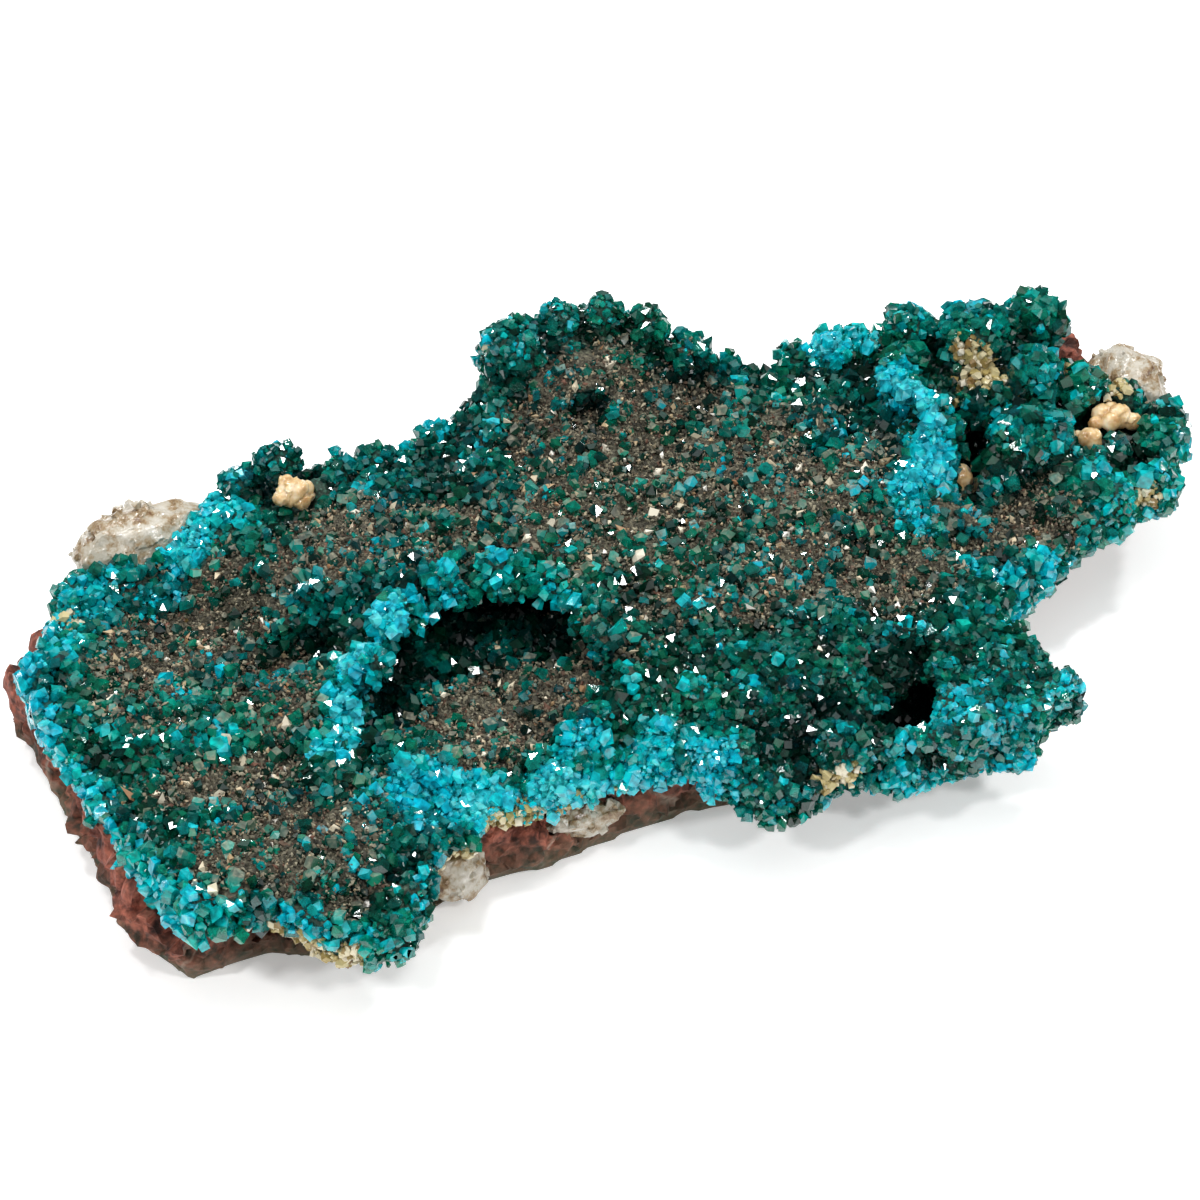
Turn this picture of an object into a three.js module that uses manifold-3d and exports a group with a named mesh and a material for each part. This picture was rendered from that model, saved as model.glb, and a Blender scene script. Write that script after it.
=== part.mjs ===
// A hand specimen of dioptase: a slab of red-brown rock that carries a thick druse of green crystals,
// with lumps of white quartz at both ends and small cream calcite nodules among the crystals.
// Sizes are in millimetres. X runs along the slab, Y across it, and Z up from the face it lies on.
import * as THREE from "three";
import { mergeVertices } from "three/addons/utils/BufferGeometryUtils.js";
import Module from "manifold-3d";

const wasm = await Module();
wasm.setup();

// Driving dimensions.
const GAP = 0.3; // free space between two pieces that touch
const SLAB_HEIGHT = 18.5; // top of the broad middle of the druse
const SEAM_HEIGHT = 9.5; // where the rock ends and the druse begins
const TALLEST = 34; // above every crystal
const DEEPEST = -4; // below the resting face
const LAND_STEP = 4.6; // spacing of the druse's surface points
const SEAM_STEP = 8.5; // spacing of the seam's surface points
const ROCK_STEP = 8.5; // spacing of the rock's outline points
const DRUSE_STEP = 7; // spacing of the druse's outline points
const EDGE_WIDTH = 5; // how far in from its edge the druse rounds off
const EDGE_DROP = 4; // how far it rounds down there
const SEAM_WAVE = 0.9; // how much the seam wanders up and down
const LAND_ROUGHNESS = 0.75; // how far a surface point of the druse stands off its landform, up or down
const FINEST = 0.5; // corners that stand out less than this are left off the druse
const BIG_KNOB = 3.5; // knobs from this radius have 80 faces
const SMALL_KNOB = 2.3; // knobs up to this radius have 20 faces, and those between have 32

// Outlines seen from above, anticlockwise from the left end of the front edge.
const ROCK_OUTLINE = [
  [-63.6, -26], [-55, -25.5], [-47, -30], [-41, -28], [-35, -24.5], [-22, -25], [-11, -23], [1, -24],
  [10, -25.5], [17, -25], [24, -20.5], [30, -16.5], [38, -11], [46, -7], [53, -3], [57, 1], [60, 7],
  [62.5, 14], [61, 21], [54, 25], [40, 26], [26, 26.5], [12, 28.5], [-4, 28], [-16, 26.5], [-28, 26.5],
  [-40, 27], [-50, 27.5], [-58, 25.5], [-64.6, 21], [-68.2, 16.5], [-68.4, 8], [-67.8, -2],
  [-67.2, -12], [-66.6, -21],
];
const DRUSE_OUTLINE = [
  [-63, -30], [-60, -31], [-56, -30.5], [-53, -34.5], [-49, -38], [-45, -37.5], [-41, -34],
  [-38.5, -29], [-33, -26.5], [-27, -25], [-20, -27], [-14, -25.5], [-8, -27.5], [-4, -34], [1, -35],
  [5, -32.5], [10, -34.5], [17, -34.5], [23, -36.5], [28, -34.5], [32, -33.8], [32.8, -31], [30.5, -26],
  [28.3, -21.5], [35, -15.8], [41, -12.4], [47, -9.4], [53, -6.6], [58, -4.6], [61.8, -1], [64.4, 4],
  [66.5, 10], [66, 16], [62, 21.5], [57, 24.5], [49, 27], [42, 27.5], [34, 26.5], [26, 27], [18, 28.5],
  [14, 33], [8, 36.5], [1, 37.5], [-6, 36], [-10, 31.5], [-16, 29.5], [-24, 28.5], [-31, 31],
  [-38, 31.5], [-45, 31.5], [-52, 31], [-58, 26], [-63.5, 19], [-67, 13], [-68.2, 6], [-67.5, -2],
  [-66.5, -10], [-65.8, -18], [-64.5, -25],
];

// Shapes of the druse's surface, laid one over the next. Each draws the ground towards its own level: an area
// within an ellipse, with steeper sides the higher its steepness, and a ridge along a line of points.
const LANDFORMS = [
  { of: "lower left end", at: [-58, -3], size: [23, 38], level: 14, steepness: 2 },
  { of: "left rear shoulder", at: [-35, 27], size: [14, 7], level: 16, steepness: 1 },
  { of: "front left mound", at: [-50, -27], size: [14, 8.5], level: 16, steepness: 2 },
  { of: "dip before the mound", at: [-53, -12], size: [10, 3.5], level: 12.6, steepness: 1 },
  { of: "left basin", at: [-51, 12], size: [10, 8], level: 11.8, steepness: 2 },
  { of: "hollow beside the ridge", at: [-42, 5], size: [5.5, 4], level: 9.6, steepness: 2 },
  { of: "front left lobe", at: [-46, -36], size: [7, 5], level: 12, steepness: 1 },
  { of: "front mass", at: [-3, -24], size: [10, 8], level: 17, steepness: 1 },
  { of: "front apron", at: [3, -32], size: [12, 4], level: 10.5, steepness: 1 },
  { of: "right slope", at: [25, -15], size: [13, 8], level: 14.5, steepness: 1 },
  { of: "right lobe", at: [23, -29], size: [10, 6], level: 14, steepness: 2 },
  { of: "hollow in the lobe", at: [16.5, -28], size: [4.5, 3.5], level: 8, steepness: 2 },
  { of: "shelf at the notch", at: [41, -9], size: [12, 6], level: 12, steepness: 1 },
  { of: "right end", at: [56, 6], size: [12, 16], level: 14.8, steepness: 2 },
  { of: "back right mass", at: [42, 17], size: [12, 8], level: 19.5, steepness: 2 },
  { of: "back hill", at: [2.5, 30.5], size: [12.5, 8.5], level: 26, steepness: 1.5 },
  { of: "right cavity", at: [39, 2], size: [5.5, 7], level: 11.5, steepness: 2 },
  { of: "big pocket", at: [-24.5, -9.5], size: [12.5, 12.5], level: 11.6, steepness: 3 },
  { of: "pocket's back corner", at: [-20, 0], size: [6, 4.5], level: 10.6, steepness: 2 },
  {
    of: "sill of the pocket", width: 2.8,
    line: [[-38, -25, 12], [-30, -23, 12.8], [-24, -24, 12.8], [-17, -26, 13]],
  },
  {
    of: "ridge round the pocket", width: 2.6,
    line: [[-43, -14.5, 13.5], [-40, -9, 15.5], [-35, -4, 17.4], [-30.5, 0, 19], [-25, 2, 20],
      [-19.5, 1.6, 20.2], [-14, -3, 19.6], [-12.5, -10, 18.8], [-12.5, -19, 17.5]],
  },
  {
    of: "ridge of the right cavity", width: 2.6,
    line: [[33, 16, 20.6], [35.4, 9.5, 21.2], [35.4, 4.3, 20.8], [32, -0.5, 19.4], [27, -5, 17]],
  },
  { of: "bare rock corner", at: [60, 20], size: [6, 5], level: 9, steepness: 2 },
];

// Hollows that reach in under their rims: middle and half sizes.
const HOLLOWS = [
  { of: "under the arch", at: [-22.5, -4.2, 14.4], half: [12, 8.4, 3.8] },
  { of: "under the arch's left leg", at: [-34, -9.5, 13], half: [5.6, 6, 3] },
  { of: "right cavity", at: [39.6, 7, 14.5], half: [3.8, 8, 6] },
  { of: "left of the brown knob", at: [23.6, 10, 15], half: [4.8, 3.4, 4.4] },
  { of: "in the right lobe", at: [16.8, -28, 11.2], half: [4.4, 3, 4.4] },
  { of: "under the back hill", at: [0.2, 21.6, 20.6], half: [2.8, 1.8, 2.4] },
  { of: "in the left basin", at: [-42.5, 5, 12.2], half: [5.2, 3.2, 2.6] },
];

// Places where the seam between rock and druse leaves its usual height.
const SEAM_FORMS = [
  { of: "left edge", at: [-66, 0], size: [10, 34], level: 9.2, steepness: 1 },
  { of: "front left lobe", at: [-46, -39], size: [9, 8], level: 3.6, steepness: 1 },
  { of: "under the pocket", at: [-24, -6], size: [16, 13], level: 6.8, steepness: 1 },
  { of: "under the right cavity", at: [38, 5], size: [9, 11], level: 6.4, steepness: 1 },
  { of: "under the left basin", at: [-43, 5], size: [10, 8], level: 6.8, steepness: 1 },
  { of: "under the lobe's hollow", at: [17, -28], size: [8, 6], level: 4.6, steepness: 1 },
  { of: "front sill", at: [-25, -27], size: [12, 5], level: 7.6, steepness: 1 },
  { of: "front mass", at: [2, -35], size: [11, 7], level: 4.4, steepness: 1 },
  { of: "right lobe", at: [24, -35], size: [11, 9], level: 4.8, steepness: 1 },
  { of: "notch", at: [40, -15], size: [14, 7], level: 7.4, steepness: 1 },
  { of: "right end", at: [62, -2], size: [10, 9], level: 7, steepness: 1 },
  { of: "rock under the hill", at: [3, 36], size: [11, 6], level: 12, steepness: 1 },
  { of: "bare rock corner", at: [59.5, 19.5], size: [7, 6], level: 16.5, steepness: 2 },
];

// Knobs of radiating crystals: x, y, radius, and the height of the middle.
const RIGHT_KNOBS = [
  [39.5, 21, 3.2, 19.5], [35.8, 16.5, 3.3, 18.3], [33, 22.5, 2.8, 18], [45, 15.5, 4.8, 20.3],
  [52.5, 17, 3.3, 20.5], [48.8, 10.8, 3.3, 18.8], [43.8, 10, 3.6, 17], [45.4, 2.2, 4.8, 15.3],
  [39.8, 0.4, 3.3, 13.2], [54.2, 7.6, 2.7, 16.8], [58, 5.2, 2.1, 16.2], [54, -1.2, 2.3, 14],
  [59.5, -0.8, 3, 13.4], [56.5, -4.6, 3, 11.5], [49.5, -2.4, 2.7, 14], [50.5, -5.8, 3.2, 10.8],
  [61.8, 3, 2.4, 13.2], [25.2, 5, 3.8, 15.3], [23, 12.3, 2.7, 18], [30.5, 22.8, 2.5, 18.6],
];
const BACK_KNOBS = [
  [-5, 31, 3.7, 23.8], [-8, 28.4, 2.4, 20.4], [5.4, 30, 2.2, 26], [9.6, 29, 2.6, 24.2],
  [0.6, 31.4, 2.4, 25.8], [13.6, 25.8, 2.4, 21.2], [-4.6, 24.8, 2.4, 18.8], [3, 35, 3, 21],
  [9.5, 33.6, 2.8, 19.6], [-4.5, 35, 2.8, 18.6], [26.5, 23.8, 2.6, 17.4], [-38, 29.6, 2.2, 15.6],
  [-34, 29, 2.9, 17], [-31.2, 23.8, 2.4, 16.2], [-27.4, 27, 2.1, 16.2], [-23.4, 26.2, 2.6, 15.8],
  [-15, 28.4, 2.1, 16.4], [-11, 28, 2.5, 17.4],
];
const FRONT_KNOBS = [
  [-6.4, -22.9, 3.2, 15], [-10.6, -22.4, 3, 14.3], [-4, -27.5, 3.3, 12], [-1.8, -31.4, 3.5, 8.3],
  [6.3, -30, 4.2, 10.5], [14.2, -24.6, 3.4, 13.2], [2.4, -26, 3.4, 13], [11.6, -31.4, 3.2, 8],
  [1.5, -20, 2.5, 15.6], [8, -23.8, 3, 14], [9.8, -19, 2.7, 14.6], [19, -31.4, 3.3, 11.8],
  [25.3, -28.2, 3.3, 12.3], [28.3, -30.8, 2.8, 11.4], [31, -32, 2, 10.2], [23.8, -33.8, 2.8, 8],
  [20.4, -26.2, 2.5, 12.8], [29, -26.6, 2.3, 11], [-46, -35.6, 3, 9], [-43, -33.2, 2.9, 10],
  [-49.6, -34.4, 2.7, 9.4], [-66.8, 11.4, 2.1, 12.2], [-67.2, 6.6, 2, 11.8], [-36.6, 10, 2.8, 14],
];

// Single crystals big enough to tell apart, spread along these lines: points, how many, and their width.
const CRYSTAL_ROWS = [
  { along: [[-43, -14.5], [-35, -4], [-25, 2], [-14, -3], [-12.5, -19]], count: 11, width: 2.6 },
  { along: [[-38, -25], [-24, -24], [-15, -26]], count: 6, width: 2.5 },
  { along: [[33, 15], [35, 6], [27, -5]], count: 7, width: 2.5 },
  { along: [[-60, -28], [-65, -14], [-66, -2]], count: 5, width: 2.4 },
  { along: [[-20, 14], [0, 8], [20, -4]], count: 5, width: 2.2 },
];

// Lumps of other minerals: middle, half sizes, and how far their corners move.
const LUMPS = {
  quartz_left: { at: [-50, 28.4, 12.4], half: [8.6, 5.2, 4.6], rough: 0.12, color: 0xd9d0c4 },
  quartz_right: { at: [62, 10.5, 13.4], half: [4.8, 6, 4.6], rough: 0.14, color: 0xc9b49a },
  quartz_ledge_front: { at: [-35, -25.4, 4.3], half: [4.2, 2.8, 3.7], rough: 0.14, color: 0xc4ab78 },
  quartz_vein_front: { at: [-19.5, -24, 5.2], half: [4.4, 2, 2.2], rough: 0.14, color: 0xd2c8b2 },
  cream_nodule: { at: [-34, 23.4, 18.3], half: [2, 1.9, 1.8], rough: 0.1, color: 0xd9b877 },
  cavity_bead: { at: [36.6, 3, 13.4], half: [1.7, 1.7, 1.6], rough: 0.05, color: 0xcfa878 },
};

// Round beads of calcite that touch each other: x, y, z and radius.
const BEADS = [[55.6, 3.2, 16.2, 1.8], [53.2, 3.6, 16, 1.7], [57.6, 1.8, 15.6, 1.5], [52.2, 1.4, 15.2, 1.6]];

const COLORS = { rock: 0x7a4335, dioptase: 0x0b7a6d, cream: 0xd3b07c };

// The same run of numbers from 0 to 1 for the same seed.
function seededRandom(seed) {
  let state = seed;
  return () => {
    state = (state + 0x6d2b79f5) | 0;
    let t = Math.imul(state ^ (state >>> 15), 1 | state);
    t = (t + Math.imul(t ^ (t >>> 7), 61 | t)) ^ t;
    return ((t ^ (t >>> 14)) >>> 0) / 2 ** 32;
  };
}

// Makes a manifold solid from a closed geometry.
function solidFrom(geometry) {
  const bare = geometry.clone();
  bare.deleteAttribute("normal");
  bare.deleteAttribute("uv");
  const merged = mergeVertices(bare, 1e-4);
  return new wasm.Manifold(new wasm.Mesh({
    numProp: 3,
    vertProperties: new Float32Array(merged.attributes.position.array),
    triVerts: new Uint32Array(merged.index.array),
  }));
}

// Turns a manifold solid back into a geometry with flat faces.
function geometryFrom(solid) {
  const mesh = solid.getMesh();
  const geometry = new THREE.BufferGeometry();
  geometry.setAttribute("position", new THREE.BufferAttribute(mesh.vertProperties, 3));
  geometry.setIndex(new THREE.BufferAttribute(mesh.triVerts, 1));
  const flat = geometry.toNonIndexed();
  flat.computeVertexNormals();
  return flat;
}

// Keeps the largest body of a solid, without the crumbs that cutting can leave.
function largestBody(solid) {
  return solid.decompose().reduce((most, body) => (body.volume() > most.volume() ? body : most));
}

// Distance from a point to a segment, and how far along the segment the nearest place is, from 0 to 1.
function nearestOnSegment(x, y, [ax, ay], [bx, by]) {
  const length2 = (bx - ax) ** 2 + (by - ay) ** 2;
  const along = THREE.MathUtils.clamp(((x - ax) * (bx - ax) + (y - ay) * (by - ay)) / length2, 0, 1);
  return { along, distance: Math.hypot(x - ax - along * (bx - ax), y - ay - along * (by - ay)) };
}

// The level that a form draws the ground towards at a point, and how strongly, from 0 to 1.
function pullOf(form, x, y) {
  if (form.line) {
    let best = { distance: Infinity };
    form.line.slice(1).forEach((end, i) => {
      const start = form.line[i];
      const { along, distance } = nearestOnSegment(x, y, start, end);
      if (distance < best.distance) best = { distance, level: THREE.MathUtils.lerp(start[2], end[2], along) };
    });
    return { level: best.level, weight: Math.exp(-((best.distance / form.width) ** 4)) };
  }
  const reach = ((x - form.at[0]) / form.size[0]) ** 2 + ((y - form.at[1]) / form.size[1]) ** 2;
  return { level: form.level, weight: Math.exp(-(reach ** form.steepness)) };
}

function shapedHeight(start, forms, x, y) {
  return forms.reduce((height, form) => {
    const { level, weight } = pullOf(form, x, y);
    return THREE.MathUtils.lerp(height, level, weight);
  }, start);
}

// A closed curve through the points, divided into steps of about the same length.
function smoothOutline(points, step) {
  const corners = points.map(([x, y]) => new THREE.Vector3(x, y, 0));
  const curve = new THREE.CatmullRomCurve3(corners, true, "centripetal");
  return curve.getSpacedPoints(Math.round(curve.getLength() / step)).slice(0, -1).map((p) => [p.x, p.y]);
}

// Moves each point of an anticlockwise outline outwards by its own amount.
function offsetOutline(outline, amountOf) {
  return outline.map(([x, y], i) => {
    const [px, py] = outline[(i + outline.length - 1) % outline.length];
    const [nx, ny] = outline[(i + 1) % outline.length];
    const length = Math.hypot(nx - px, ny - py);
    const amount = amountOf(i, x, y);
    return [x + ((ny - py) / length) * amount, y - ((nx - px) / length) * amount];
  });
}

// A closed solid through rings of equal count, each an outline with a height of its own for every point.
function loftedSolid(rings) {
  const count = rings[0].length;
  const points = rings.flat();
  const faces = [];
  for (let ring = 0; ring + 1 < rings.length; ring++) {
    for (let i = 0; i < count; i++) {
      const [a, b] = [ring * count + i, ring * count + ((i + 1) % count)];
      faces.push([a, b, b + count], [a, b + count, a + count]);
    }
  }
  const capOf = (ring) => (
    THREE.ShapeUtils.triangulateShape(ring.map(([x, y]) => new THREE.Vector2(x, y)), []));
  const top = (rings.length - 1) * count;
  capOf(rings[0]).forEach(([a, b, c]) => faces.push([a, c, b]));
  capOf(rings[rings.length - 1]).forEach(([a, b, c]) => faces.push([top + a, top + b, top + c]));
  return solidFrom(indexedGeometry(points, faces));
}

function indexedGeometry(points, faces) {
  const geometry = new THREE.BufferGeometry();
  geometry.setAttribute("position", new THREE.Float32BufferAttribute(points.flat(), 3));
  geometry.setIndex(faces.flat());
  return geometry;
}

// A block of ground under a height function, over the whole specimen and a little past it.
function groundBlock(heightOf, step, seed, roughness = 0) {
  const random = seededRandom(seed);
  const [halfX, halfY, wander] = [76, 44, 0.26 * step];
  const [columns, rows] = [Math.ceil((2 * halfX) / step), Math.ceil((2 * halfY) / step)];
  const points = [];
  const faces = [];
  const across = columns + 1;
  for (let row = 0; row <= rows; row++) {
    for (let column = 0; column <= columns; column++) {
      const inside = column > 0 && column < columns && row > 0 && row < rows;
      const x = -halfX + (column * 2 * halfX) / columns + (inside ? wander * (2 * random() - 1) : 0);
      const y = -halfY + (row * 2 * halfY) / rows + (inside ? wander * (2 * random() - 1) : 0);
      points.push([x, y, heightOf(x, y) + roughness * (2 * random() - 1)]);
    }
  }
  for (let row = 0; row < rows; row++) {
    for (let column = 0; column < columns; column++) {
      const a = row * across + column;
      const [b, c, d] = [a + 1, a + across + 1, a + across];
      if ((row + column) % 2) faces.push([a, b, c], [a, c, d]);
      else faces.push([a, b, d], [b, c, d]);
    }
  }
  // The sides hang down from the rim to one point far below, which keeps them to one triangle for each step.
  const rim = [];
  for (let column = 0; column < columns; column++) rim.push(column);
  for (let row = 0; row < rows; row++) rim.push(row * across + columns);
  for (let column = columns; column > 0; column--) rim.push(rows * across + column);
  for (let row = rows; row > 0; row--) rim.push(row * across);
  const foot = points.push([0, 0, -400]) - 1;
  rim.forEach((a, i) => faces.push([a, foot, rim[(i + 1) % rim.length]]));
  return solidFrom(indexedGeometry(points, faces));
}

// The seam between rock and druse, and the top of the druse.
function seamHeight(x, y) {
  const along = Math.sin(0.31 * x + 1.3 * Math.sin(0.17 * y));
  const across = Math.sin(0.37 * y + 0.11 * x);
  return shapedHeight(SEAM_HEIGHT, SEAM_FORMS, x, y) + 0.5 * SEAM_WAVE * (along + across);
}

function druseHeight(outline, x, y) {
  const toEdge = Math.min(...outline.map((point, i) => (
    nearestOnSegment(x, y, point, outline[(i + 1) % outline.length]).distance)));
  const near = Math.max(0, 1 - toEdge / EDGE_WIDTH);
  return shapedHeight(SLAB_HEIGHT, LANDFORMS, x, y) - EDGE_DROP * near ** 2;
}

// A broken lump: a ball of flat faces, drawn out to its half sizes, with its corners moved in and out.
function lumpSolid({ at, half, rough, faces = 80 }, seed, grown = 0) {
  const random = seededRandom(seed);
  const ball = {
    20: () => new THREE.IcosahedronGeometry(1.1, 0),
    32: () => new THREE.OctahedronGeometry(1.08, 1),
    80: () => new THREE.IcosahedronGeometry(1, 1),
  }[faces]();
  ball.deleteAttribute("normal");
  ball.deleteAttribute("uv");
  const geometry = mergeVertices(ball, 1e-4);
  const position = geometry.attributes.position;
  for (let i = 0; i < position.count; i++) {
    const reach = 1 + rough * (2 * random() - 1);
    const corner = new THREE.Vector3().fromBufferAttribute(position, i);
    corner.multiply(new THREE.Vector3(...half).multiplyScalar(reach).addScalar(grown));
    position.setXYZ(i, corner.x + at[0], corner.y + at[1], corner.z + at[2]);
  }
  return solidFrom(geometry);
}

// A six-sided crystal with the three-faced tip of dioptase, standing on a point and leaning one way.
function crystalSolid(base, direction, width, length, turn) {
  const radius = width / 2;
  const shoulder = length - 0.75 * width;
  const points = [[0, 0, 0]];
  for (let i = 0; i < 6; i++) {
    const angle = turn + (i * Math.PI) / 3;
    const high = shoulder + (i % 2 ? 0.28 * width : 0);
    points.push([radius * Math.cos(angle), radius * Math.sin(angle), 0]);
    points.push([radius * Math.cos(angle), radius * Math.sin(angle), high]);
  }
  const apex = points.push([0, 0, length]) - 1;
  const faces = [];
  for (let i = 0; i < 6; i++) {
    const [low, high] = [1 + 2 * i, 2 + 2 * i];
    const [nextLow, nextHigh] = [1 + 2 * ((i + 1) % 6), 2 + 2 * ((i + 1) % 6)];
    faces.push([0, nextLow, low], [low, nextLow, nextHigh], [low, nextHigh, high], [high, nextHigh, apex]);
  }
  const geometry = indexedGeometry(points, faces);
  const upright = new THREE.Vector3(0, 0, 1);
  geometry.applyQuaternion(new THREE.Quaternion().setFromUnitVectors(upright, direction.clone().normalize()));
  geometry.translate(...base);
  return solidFrom(geometry);
}

// The crystals of one row, rooted a little below the druse's surface and leaning to either side.
function crystalRow({ along, count, width }, heightOf, random) {
  const path = new THREE.CatmullRomCurve3(along.map(([x, y]) => new THREE.Vector3(x, y, 0)));
  return path.getSpacedPoints(count - 1).map((point) => {
    const [x, y] = [point.x + 3 * (random() - 0.5), point.y + 3 * (random() - 0.5)];
    const size = width * (0.8 + 0.4 * random());
    const lean = new THREE.Vector3(1.1 * (random() - 0.5), 1.1 * (random() - 0.5), 1);
    return crystalSolid([x, y, heightOf(x, y) - size], lean, size, 1.9 * size, random() * Math.PI);
  });
}

function knobSolids(knobs, seed) {
  return knobs.map(([x, y, radius, z], i) => lumpSolid({
    at: [x, y, z],
    half: [radius, radius, radius],
    rough: 0.14,
    faces: radius > BIG_KNOB ? 80 : radius > SMALL_KNOB ? 32 : 20,
  }, seed + i));
}

// The slab of rock below the seam. Its foot is flat, and its right end rises from the ground. Each ring has
// its height, how far it lies inside the outline, how rough it is, and how much further in its right end is.
function rockBlock() {
  const outline = smoothOutline(ROCK_OUTLINE, ROCK_STEP);
  const random = seededRandom(11);
  const ring = (z, inset, roughness, rise = 0) => offsetOutline(outline, (i, x) => (
    -inset - rise * THREE.MathUtils.smoothstep(x, 20, 64) + roughness * (2 * random() - 1)
  )).map(([x, y]) => [x, y, z + (roughness ? 0.9 * (2 * random() - 1) : 0)]);
  return loftedSolid([
    ring(0, 0.8, 0, 9), ring(2.6, -0.1, 0.8, 6), ring(6, 0.2, 0.9, 2.5), ring(10, 0.6, 0.9, 0.6), ring(20, 1.2, 0, 0),
  ]);
}

// The space that the druse may fill: it is widest a little above the seam and tucks in below.
function druseBlock(outline) {
  const random = seededRandom(29);
  const ring = (z, inset, roughness) => (
    offsetOutline(outline, () => -inset + roughness * (2 * random() - 1)).map(([x, y]) => [x, y, z]));
  return loftedSolid([ring(DEEPEST, 4.5, 0), ring(6.5, 1.3, 0.5), ring(11, 0, 0.6), ring(16, 0.6, 0.5),
    ring(TALLEST, 3, 0)]);
}

function meshOf(name, solid, color, roughness) {
  const material = new THREE.MeshStandardMaterial({ color, roughness, metalness: 0 });
  const mesh = new THREE.Mesh(geometryFrom(solid), material);
  mesh.name = name;
  return mesh;
}

function buildSpecimen() {
  const outline = smoothOutline(DRUSE_OUTLINE, DRUSE_STEP);
  const heightOf = (x, y) => druseHeight(outline, x, y);
  const random = seededRandom(53);
  const lumps = Object.entries(LUMPS).map(([name, lump], i) => ({
    name, color: lump.color, solid: lumpSolid(lump, 700 + i), socket: lumpSolid(lump, 700 + i, GAP),
  }));
  const beads = BEADS.map(([x, y, z, radius]) => (
    { at: [x, y, z], half: [radius, radius, radius], rough: 0.04, faces: 20 }));
  lumps.push({
    name: "cream_beads", color: COLORS.cream,
    solid: wasm.Manifold.union(beads.map((bead, i) => lumpSolid(bead, 800 + i))),
    socket: wasm.Manifold.union(beads.map((bead, i) => lumpSolid(bead, 800 + i, GAP))),
  });
  const sockets = wasm.Manifold.union(lumps.map((lump) => lump.socket));

  const rock = rockBlock().intersect(groundBlock(seamHeight, SEAM_STEP, 5)).subtract(sockets);
  const knobs = [RIGHT_KNOBS, BACK_KNOBS, FRONT_KNOBS].flatMap((list, i) => knobSolids(list, 100 * (i + 1)));
  const crystals = CRYSTAL_ROWS.flatMap((row) => crystalRow(row, heightOf, random));
  const ground = druseBlock(outline).intersect(groundBlock(heightOf, LAND_STEP, 7, LAND_ROUGHNESS));
  const hollows = wasm.Manifold.union(HOLLOWS.map((hollow, i) => (
    lumpSolid({ ...hollow, rough: 0.12, faces: 32 }, 900 + i))));
  const druse = wasm.Manifold.union([ground.subtract(hollows), ...knobs, ...crystals]).simplify(FINEST)
    .subtract(groundBlock((x, y) => seamHeight(x, y) + GAP, SEAM_STEP, 5)).subtract(sockets);

  const specimen = new THREE.Group();
  specimen.add(meshOf("matrix_rock", largestBody(rock), COLORS.rock, 0.9));
  specimen.add(meshOf("dioptase_druse", largestBody(druse), COLORS.dioptase, 0.2));
  lumps.forEach(({ name, solid, color }) => specimen.add(meshOf(name, solid, color, 0.6)));
  const middle = new THREE.Box3().setFromObject(specimen).getCenter(new THREE.Vector3());
  specimen.children.forEach((piece) => piece.geometry.translate(-middle.x, -middle.y, 0));
  return specimen;
}

export default buildSpecimen();
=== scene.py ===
"""A hand specimen of dioptase: the looks of its crystals, dust, rock, quartz and calcite.

The frame is in metres, with +X along the slab towards the end with the knobs and +Z up.
"""

import math

import bmesh
import bpy
import numpy as np
from bpy.props import FloatProperty, FloatVectorProperty, IntProperty, PointerProperty
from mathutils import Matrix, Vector
from mathutils.bvhtree import BVHTree


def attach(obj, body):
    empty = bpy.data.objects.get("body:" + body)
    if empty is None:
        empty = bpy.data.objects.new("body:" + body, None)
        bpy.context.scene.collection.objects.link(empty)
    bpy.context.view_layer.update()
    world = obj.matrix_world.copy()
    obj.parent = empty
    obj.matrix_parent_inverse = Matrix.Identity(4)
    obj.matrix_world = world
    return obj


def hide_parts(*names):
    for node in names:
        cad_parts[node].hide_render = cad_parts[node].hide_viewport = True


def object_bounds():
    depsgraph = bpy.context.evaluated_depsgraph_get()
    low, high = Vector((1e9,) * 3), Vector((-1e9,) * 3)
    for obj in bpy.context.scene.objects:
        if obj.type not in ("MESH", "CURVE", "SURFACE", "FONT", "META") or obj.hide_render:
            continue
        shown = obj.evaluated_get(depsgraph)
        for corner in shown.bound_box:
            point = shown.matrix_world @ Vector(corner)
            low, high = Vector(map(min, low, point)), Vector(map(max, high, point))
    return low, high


bl_info = {
    "name": "Dioptase specimen",
    "version": (1, 0, 0),
    "blender": (4, 5, 0),
    "location": "3D View > Sidebar > Specimen",
    "description": "Grows dioptase crystals, dust, quartz and calcite on a slab of rock",
    "category": "Add Mesh",
}

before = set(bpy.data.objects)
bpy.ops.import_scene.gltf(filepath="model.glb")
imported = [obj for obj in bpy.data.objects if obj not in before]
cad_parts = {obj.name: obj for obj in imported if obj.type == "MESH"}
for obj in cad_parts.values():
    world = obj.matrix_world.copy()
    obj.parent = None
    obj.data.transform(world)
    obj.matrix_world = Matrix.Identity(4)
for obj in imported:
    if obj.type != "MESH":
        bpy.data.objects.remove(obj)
CAD_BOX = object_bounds()

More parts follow.
